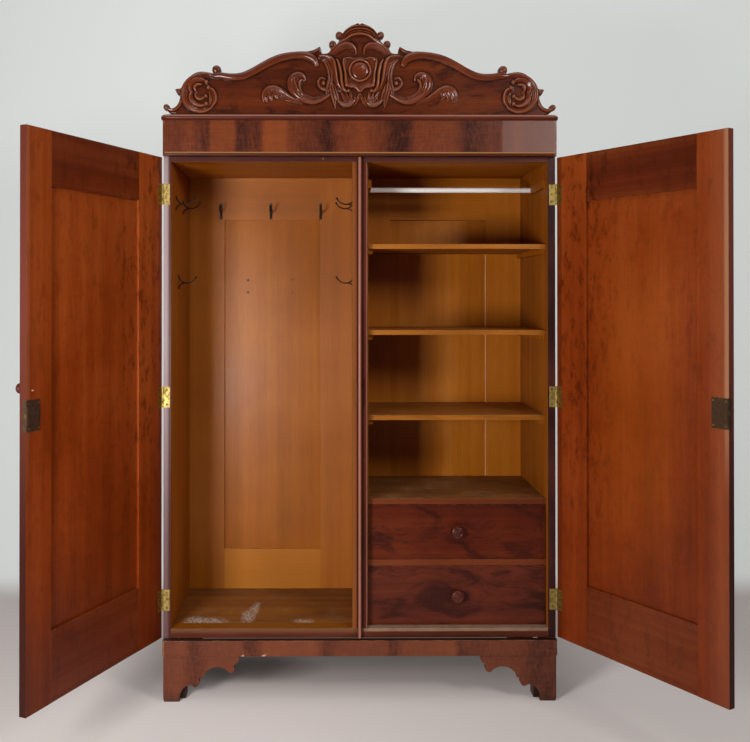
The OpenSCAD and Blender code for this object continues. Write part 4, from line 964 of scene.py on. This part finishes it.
shape = bmesh.new()
for (u, v), drop, rise in zip(flat, fall, tall):
    shape.verts.new((u / 1000, crest_ground + (drop - rise) / 1000, board_low.z + v / 1000))
shape.verts.ensure_lookup_table()
for triangle in triangles:
    shape.faces.new([shape.verts[i] for i in triangle])
rim = [edge for edge in shape.edges if edge.is_boundary]
wall = bmesh.ops.extrude_edge_only(shape, edges=rim)["geom"]
far = [e for e in wall if isinstance(e, bmesh.types.BMVert)]
for vertex in far:
    vertex.co.y = board_high.y
bmesh.ops.contextual_create(shape, geom=[e for e in wall if isinstance(e, bmesh.types.BMEdge)
                                         and all(v in far for v in e.verts)])
bmesh.ops.recalc_face_normals(shape, faces=shape.faces)
crest_mesh = bpy.data.meshes.new("crest")
shape.to_mesh(crest_mesh)
shape.free()
marks = {"raised": np.clip(tall / 12, 0, 1), "ridge": np.clip((tall - mean) / 1.6, -1, 1)}
for name, values in marks.items():
    on_board = np.zeros(len(crest_mesh.vertices))
    on_board[:len(flat)] = values
    crest_mesh.attributes.new(name, "FLOAT", "POINT").data.foreach_set("value", on_board)
crest = new_piece("carved_crest", crest_mesh)
bpy.ops.object.shade_smooth_by_angle(angle=math.radians(50))

crest_tones = ("#260a03", "#5a2208", "#823a10")
crest_wood = Finish("carved_mahogany")
lying = level_along(crest_wood.place)
colour, rough, height = wood(lying, *crest_tones, fibre=0.25, gloss=0.27)
colour = clouded(colour, lying, crest_tones[0], 8.0, 22.0, 0.48, 0.75)
ridge = crest_wood.attribute("ridge")
colour = colour.tinted("#7c3516", crest_wood.attribute("raised") * 0.3)
# Painted highlight on the ridges; the hollows between the forms are darkened.
colour = colour.tinted("#b06a42", ridge.rise(0.15, 1.1) * 0.4)
colour = colour.tinted("#1a0604", (0 - ridge).rise(0.05, 0.9) * 0.6)
crest_wood.lay(colour, rough - 0.02, height, Coat_Weight=0.38, Coat_Roughness=0.15,
               Specular_IOR_Level=0.25)
dress(crest_wood, crest)
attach(crest, "case")
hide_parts("crest_board", "crest_roll", "crest_scrolls", "crest_corners",
            "crest_shield")


# Shelves, their battens, the drawer deck and the rails round the drawers. The boards are
# stained pine, dusty on top, and the rails and the deck's front edge are mahogany.
dress(long_ochre, eased("shelf_upper"), eased("shelf_middle"), eased("shelf_lower"))
dress(upright_ochre, eased("battens"))
drawer_rail_wood = plain_mahogany("drawer_rail_mahogany", ("#451c0c", "#6e3216", "#8a4c28"),
                                  "along")
deck = eased("drawer_deck")
dress(stained("deck_pine", "along", 1.0, floor_tones), deck)
deck.data.materials.append(drawer_rail_wood.material)
for face in deck.data.polygons:
    if face.normal.y < -0.5:
        face.material_index = 1
dress(drawer_rail_wood, eased("drawer_rail"))
dress(raw_board, eased("drawer_runners"))


# Doors. Frame and panel doors of solid mahogany, fielded inside, with flame veneer and an
# ogee moulding outside. The inner faces are polished, stained by hands near the hinges
# and darker at their feet.
door_tones = ("#541a02", "#82330a", "#9e4a1a")
rail_tones = ("#381003", "#64250b", "#7e3c18")
outer_tones = ("#2c0f09", "#5f2a15", "#824526")
hinge_x = 0.7035
hinge_y = -0.2405
door_edge_x = 0.7
door_face_y = -0.241
door_turns = {"left": (-1, math.radians(-114)), "right": (1, math.radians(121))}


def door_wood(door, part, tones, fade, painted_sheen=0.0, painted_glow=0.0, grain="up", **marks):
    """A piece of a door. Its inner face is plain and its outer face has dark figure. It
    darkens downward by fade to the metre. The two shares after fade set the painted sheen
    near its free edge, with a pale strip of wear and painted highlight at the edge, and the
    painted pool of light in its middle."""
    side, turn = door_turns[door]
    finish = Finish(f"{door}_{part}_mahogany")
    place = finish.place
    height = place.z
    from_hinge = place.stretch(1, 1, 0).away((hinge_x * side, hinge_y, 0.0))
    grained = level_along(place, turn) if grain == "along" else place
    colour, rough, bumps = wood(grained, *tones, level=0.53 + (height - 1.1) * fade, **marks)
    blots = place.streaks(30, 12, 6.0, 0.8).rise(0.5, 0.62)
    handled = from_hinge.fall(0.17, 0.3) * height.rise(0.4, 1.0)
    colour = colour.tinted(tones[0], blots * (handled * 0.5 + 0.3))
    colour = colour.tinted(tones[0], from_hinge.fall(0.023, 0.028) * 0.55)
    # Painted sheen near the free edge, and a pale strip of wear and painted highlight on the edge's
    # upper part.
    colour = colour.tinted("#96583c", from_hinge.rise(0.585, 0.69) * painted_sheen * 0.6)
    wear_and_highlight = from_hinge.rise(0.674, 0.685) * height.rise(0.8, 1.15)
    colour = colour.tinted("#c4906c", wear_and_highlight * painted_sheen)
    # A painted pool of warm light in the middle of the door.
    middle = from_hinge.rise(0.12, 0.3) * from_hinge.fall(0.42, 0.58)
    belt = height.rise(0.4, 1.0) * height.fall(1.3, 1.8)
    colour = colour.tinted("#b45c14", middle * belt * painted_glow)
    edgeward = finish.normal.toward((-side * math.cos(turn), -side * math.sin(turn), 0.0))
    edge = finish.mix(height.rise(0.6, 1.5), "#34140e", "#5e2c20")
    colour = colour.tinted(edge, edgeward.rise(0.5, 0.7) * from_hinge.rise(0.66, 0.68))
    colour = spotted(colour, [(-0.975, 1.159, 0.0022)], "#d8b096")
    outer = colour.tinted(outer_tones[1], 0.55)
    outer = clouded(outer, grained, outer_tones[0], 3.4, 15.0, 0.43, 0.85)
    outward = finish.normal.toward((math.sin(turn), -math.cos(turn), 0.0))
    colour = worn_edges(colour.tinted(outer, outward.rise(0.4, 0.6)), "#9a6040", 0.55)
    finish.lay(colour, rough, bumps, **polished)
    return finish


# Each door: the share of painted sheen at its free edge, how fast it darkens downward, and the painted
# light in its middle.
for door, pale, fade, painted_glow in (("left", 0.1, 0.3, 0.0), ("right", 0.55, 0.26, 0.22)):
    stiles = door_wood(door, "stile", door_tones, fade, pale, ribbon=0.3, fibre=0.3)
    panel = door_wood(door, "panel", door_tones, fade, pale * 0.6, painted_glow, mottle=0.1,
                      ribbon=0.2, fibre=0.35)
    rails = door_wood(door, "rail", rail_tones, -0.03, grain="along", ribbon=0.4)
    dress(stiles, eased(door + "_door_stiles"))
    dress(panel, eased(door + "_door_panel"))
    dress(rails, eased(door + "_door_rails"))
    dress(plain_mahogany(door + "_moulding_mahogany", rail_tones),
          nodes[door + "_door_moulding"])


# Drawers. Their fronts have dark flame figure that lies along them, and the lower one is
# the lighter. The boxes behind are raw pine, and all the turned knobs are plain mahogany.
drawer_tones = {"upper": ("#240b07", "#551c09", "#743216"),
                "lower": ("#2a0f0b", "#5e2616", "#7e3e26")}
knob_tones = ("#260c0a", "#4c1e18", "#6c362a")
for which, tones in drawer_tones.items():
    veneer = plain_mahogany(which + "_drawer_flame_mahogany", tones, "along", gloss=0.3,
                            clouds=(4.5, 15.0, 0.44, 0.8))
    dress(veneer, eased(which + "_drawer_front"))
    dress(raw_board, eased(which + "_drawer_box"), eased(which + "_drawer_bottom"))
    dress(plain_mahogany(which + "_knob_mahogany", knob_tones), nodes[which + "_drawer_knob"])
dress(plain_mahogany("door_knob_mahogany", knob_tones), nodes["left_door_knob"])


# Metal. Brass butt hinges with three slotted screws to a leaf, and iron locks let into
# the doors, their plates in the doors' free edges. Each lock is held by four screws and
# has a brass bolt.
def metal(name, base, dark, rough, metallic=1.0):
    """A metal with darker spots, which are rougher too."""
    finish = Finish(name)
    spots = finish.place.noise(90, 4.0, 0.65).rise(0.45, 0.68)
    fine = finish.place.noise(900)
    finish.lay(finish.mix(spots * 0.7, base, dark), rough + spots * 0.2 + (fine - 0.5) * 0.15,
               fine, 0.00005, Metallic=metallic)
    return finish


def door_matrix(door):
    return Matrix.Rotation(door_turns[door][1], 3, "Z")


def swung(door, u, t, z):
    """The point of an open door u from its hinge edge and t out of its inner face."""
    side = door_turns[door][0]
    closed = Vector(((u - door_edge_x) * -side, door_face_y - t, z))
    axis = Vector((hinge_x * side, hinge_y, 0))
    return axis + door_matrix(door) @ (closed - axis)


def screw_pattern(radius):
    """A slotted, slightly domed screw head that looks along -Y from the origin."""
    bpy.ops.object.select_all(action="DESELECT")
    bpy.ops.mesh.primitive_cylinder_add(vertices=14, radius=radius, depth=0.0012,
                                        rotation=(math.radians(90), 0, 0))
    head = bpy.context.object
    bpy.ops.object.transform_apply(location=False, rotation=True, scale=False)
    bpy.ops.object.mode_set(mode="EDIT")
    pick(head, "faces", lambda face: face.normal.y < -0.9)
    bpy.ops.mesh.inset(thickness=radius * 0.22)
    bpy.ops.transform.translate(value=(0, -0.0003, 0))
    for x in (-0.16, 0.16):
        bpy.ops.mesh.select_all(action="SELECT")
        bpy.ops.mesh.bisect(plane_co=(x * radius, 0, 0), plane_no=(1, 0, 0))
    pick(head, "faces", lambda face: face.normal.y < -0.5
         and abs(face.calc_center_median().x) < 0.15 * radius)
    bpy.ops.mesh.extrude_region_move(TRANSFORM_OT_translate={"value": (0, 0.0006, 0)})
    bpy.ops.object.mode_set(mode="OBJECT")
    return head


def screws(name, pattern, places, body, finish):
    """Copies of a screw head at places [point, the way it looks, turn of its slot]."""
    shape = bmesh.new()
    for point, looks, slot in places:
        copy = pattern.data.copy()
        aim = Vector((0, -1, 0)).rotation_difference(looks).to_matrix().to_4x4()
        copy.transform(Matrix.Translation(point) @ aim @ Matrix.Rotation(slot, 4, "Y"))
        shape.from_mesh(copy)
        bpy.data.meshes.remove(copy)
    bmesh.ops.recalc_face_normals(shape, faces=shape.faces)
    mesh = bpy.data.meshes.new(name)
    shape.to_mesh(mesh)
    shape.free()
    piece = new_piece(name, mesh)
    dress(finish, piece)
    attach(piece, body)


pale_brass = metal("aged_brass", "#b39a58", "#6f5426", 0.5)
dull_brass = metal("dull_brass", "#9a8244", "#5e4a20", 0.42)
dark_iron = metal("dark_iron", "#5c4636", "#2c1b12", 0.42, 0.75)
worn_iron = metal("worn_iron", "#64503c", "#35231a", 0.4)
screw_steel = metal("screw_steel", "#4e4436", "#241a12", 0.4, 0.9)
hinge_heights = (0.351, 1.074, 1.797)
screw_steps = (-0.025, 0.002, 0.026)
lock_z = 1.086
on_leaf = [(level, step) for level in hinge_heights for step in screw_steps]
case_screw = screw_pattern(0.0032)
on_case = [[Vector((side * 0.688, -0.2395, level + step)), Vector((0, -1, 0)),
            level * 7 + step * 90] for side in (-1, 1) for level, step in on_leaf]
screws("case_hinge_screws", case_screw, on_case, "case", screw_steel)
for door, iron in (("left", dark_iron), ("right", worn_iron)):
    body = nodes[door + "_door_hinges"]["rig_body"]
    inward = door_matrix(door) @ Vector((0, 1, 0))
    on_door = [[swung(door, 0.012, 0.0005, level + step), inward, level * 5 + step * 70]
               for level, step in on_leaf]
    screws(door + "_hinge_screws", case_screw, on_door, body, screw_steel)
    on_lock = [[swung(door, u, -0.0009, lock_z + z), inward, u * 40 + z * 60]
               for u in (0.637, 0.681) for z in (-0.037, 0.037)]
    screws(door + "_lock_screws", case_screw, on_lock, body, dull_brass)
    dress(iron, nodes[door + "_door_lock"])
    dress(dull_brass, nodes[door + "_door_hinges"], nodes[door + "_door_bolt"])
dress(pale_brass, nodes["case_hinges"], nodes["hinge_pins"])
case_screw.data.transform(Matrix.Translation((-0.131, -0.2395, 1.9255)))
case_screw.name = "top_rail_screw"
dress(pale_brass, case_screw)
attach(case_screw, "case")


# Keyhole plates. One of brass on the outer face of each door, level with its lock, dished
# round a keyhole. The keyhole itself is a black plug, painted shade for the dark hole.
keyhole_shade_paint = metal("keyhole_painted_shade", "#0c0806", "#120c08", 0.8, 0.0)


def keyhole_plate(door):
    """An oval plate and its keyhole. They are made lying flat and then stood on the door."""
    bpy.ops.object.select_all(action="DESELECT")
    bpy.ops.mesh.primitive_cylinder_add(vertices=32, radius=0.011, depth=0.0012)
    plate = bpy.context.object
    plate.name = door + "_keyhole_plate"
    bpy.ops.object.mode_set(mode="EDIT")
    bpy.ops.transform.resize(value=(1, 1.55, 1))
    pick(plate, "faces", lambda face: face.normal.z > 0.9)
    bpy.ops.mesh.inset(thickness=0.0014)
    bpy.ops.transform.translate(value=(0, 0, 0.0004))
    bpy.ops.mesh.inset(thickness=0.0034)
    bpy.ops.transform.translate(value=(0, 0, -0.0006))
    bpy.ops.object.mode_set(mode="OBJECT")
    bpy.ops.object.select_all(action="DESELECT")
    bpy.ops.mesh.primitive_cylinder_add(vertices=16, radius=0.0027, depth=0.0014,
                                        location=(0, 0.0028, 0))
    hole = bpy.context.object
    hole.name = door + "_keyhole"
    bpy.ops.object.transform_apply(location=True, rotation=False, scale=False)
    low = min(vertex.co.y for vertex in hole.data.vertices)
    bpy.ops.object.mode_set(mode="EDIT")
    pick(hole, "faces", lambda face: face.calc_center_median().y < low + 0.0004)
    bpy.ops.mesh.extrude_region_move(TRANSFORM_OT_translate={"value": (0, -0.0064, 0)})
    bpy.ops.object.mode_set(mode="OBJECT")
    standing = door_matrix(door).to_4x4() @ Matrix.Rotation(math.radians(90), 4, "X")
    spot = Matrix.Translation(swung(door, 0.660, 0.0244, lock_z))
    for piece, finish in ((plate, pale_brass), (hole, keyhole_shade_paint)):
        piece.data.transform(spot @ standing)
        dress(finish, piece)
        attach(piece, nodes[door + "_door_hinges"]["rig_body"])


keyhole_plate("left")
keyhole_plate("right")


# Plates on the case. Strike plates of iron on both sides of the bead, each with a mortise
# for a bolt, and plates behind the hooks of the rear wall.
def thin_plate(name, centre, size, hole=None):
    """A plate with eased corners that looks along X or Y, whichever way it is thin, and
    has a hole [width, height] if that is given."""
    bpy.ops.object.select_all(action="DESELECT")
    bpy.ops.mesh.primitive_cube_add(size=1, location=centre)
    piece = bpy.context.object
    piece.name = name
    bpy.ops.transform.resize(value=size)
    bpy.ops.object.transform_apply(location=True, rotation=False, scale=True)
    if hole:
        bpy.ops.object.mode_set(mode="EDIT")
        cut_hole(piece, Vector(centre), size.index(min(size)), hole)
        bpy.ops.object.mode_set(mode="OBJECT")
    rounded(piece, min(size) * 0.3)
    dress(dark_iron, piece)
    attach(piece, "case")


def cut_hole(piece, centre, thin, hole):
    wide = 1 - thin
    halves = {wide: hole[0] / 2, 2: hole[1] / 2}
    for axis, half in halves.items():
        for sign in (-1, 1):
            spot, facing = Vector(), Vector()
            spot[axis] = centre[axis] + sign * half
            facing[axis] = 1
            bpy.ops.mesh.select_all(action="SELECT")
            bpy.ops.mesh.bisect(plane_co=spot, plane_no=facing)

    def in_hole(face):
        away = face.calc_center_median() - centre
        return (all(abs(away[axis]) < half for axis, half in halves.items())
                and abs(face.normal[thin]) > 0.9)

    pick(piece, "faces", in_hole)
    bpy.ops.mesh.bridge_edge_loops()


for name, side in (("left", -1), ("right", 1)):
    thin_plate(name + "_strike_plate", (side * 0.0074, -0.2445, lock_z),
               (0.0008, 0.0088, 0.052), (0.0058, 0.014))
for name, x in (("left", -0.545), ("middle", -0.343), ("right", -0.141)):
    thin_plate(name + "_hook_plate", (x, 0.2174, 1.779), (0.011, 0.0016, 0.066))


# Hooks and rod. The coat hooks are bent iron wire, blackened, and a little thicker than
# in the solids. The hanging rod is painted white and slightly chipped.
def thicken():
    bpy.ops.transform.shrink_fatten(value=0.0007)


black_iron = metal("blackened_wire", "#1d120d", "#3a2216", 0.5, 0.4)
dress(black_iron, remodelled("coat_hooks", "_wire", 0.00002, thicken))
white = Finish("rod_paint")
chipped = white.place.noise(60, 4.0).rise(0.6, 0.7)
white.lay(white.mix(chipped * 0.35, "#f6f3ee", "#c4b8a4"), 0.3)
dress(white, nodes["hanging_rod"])
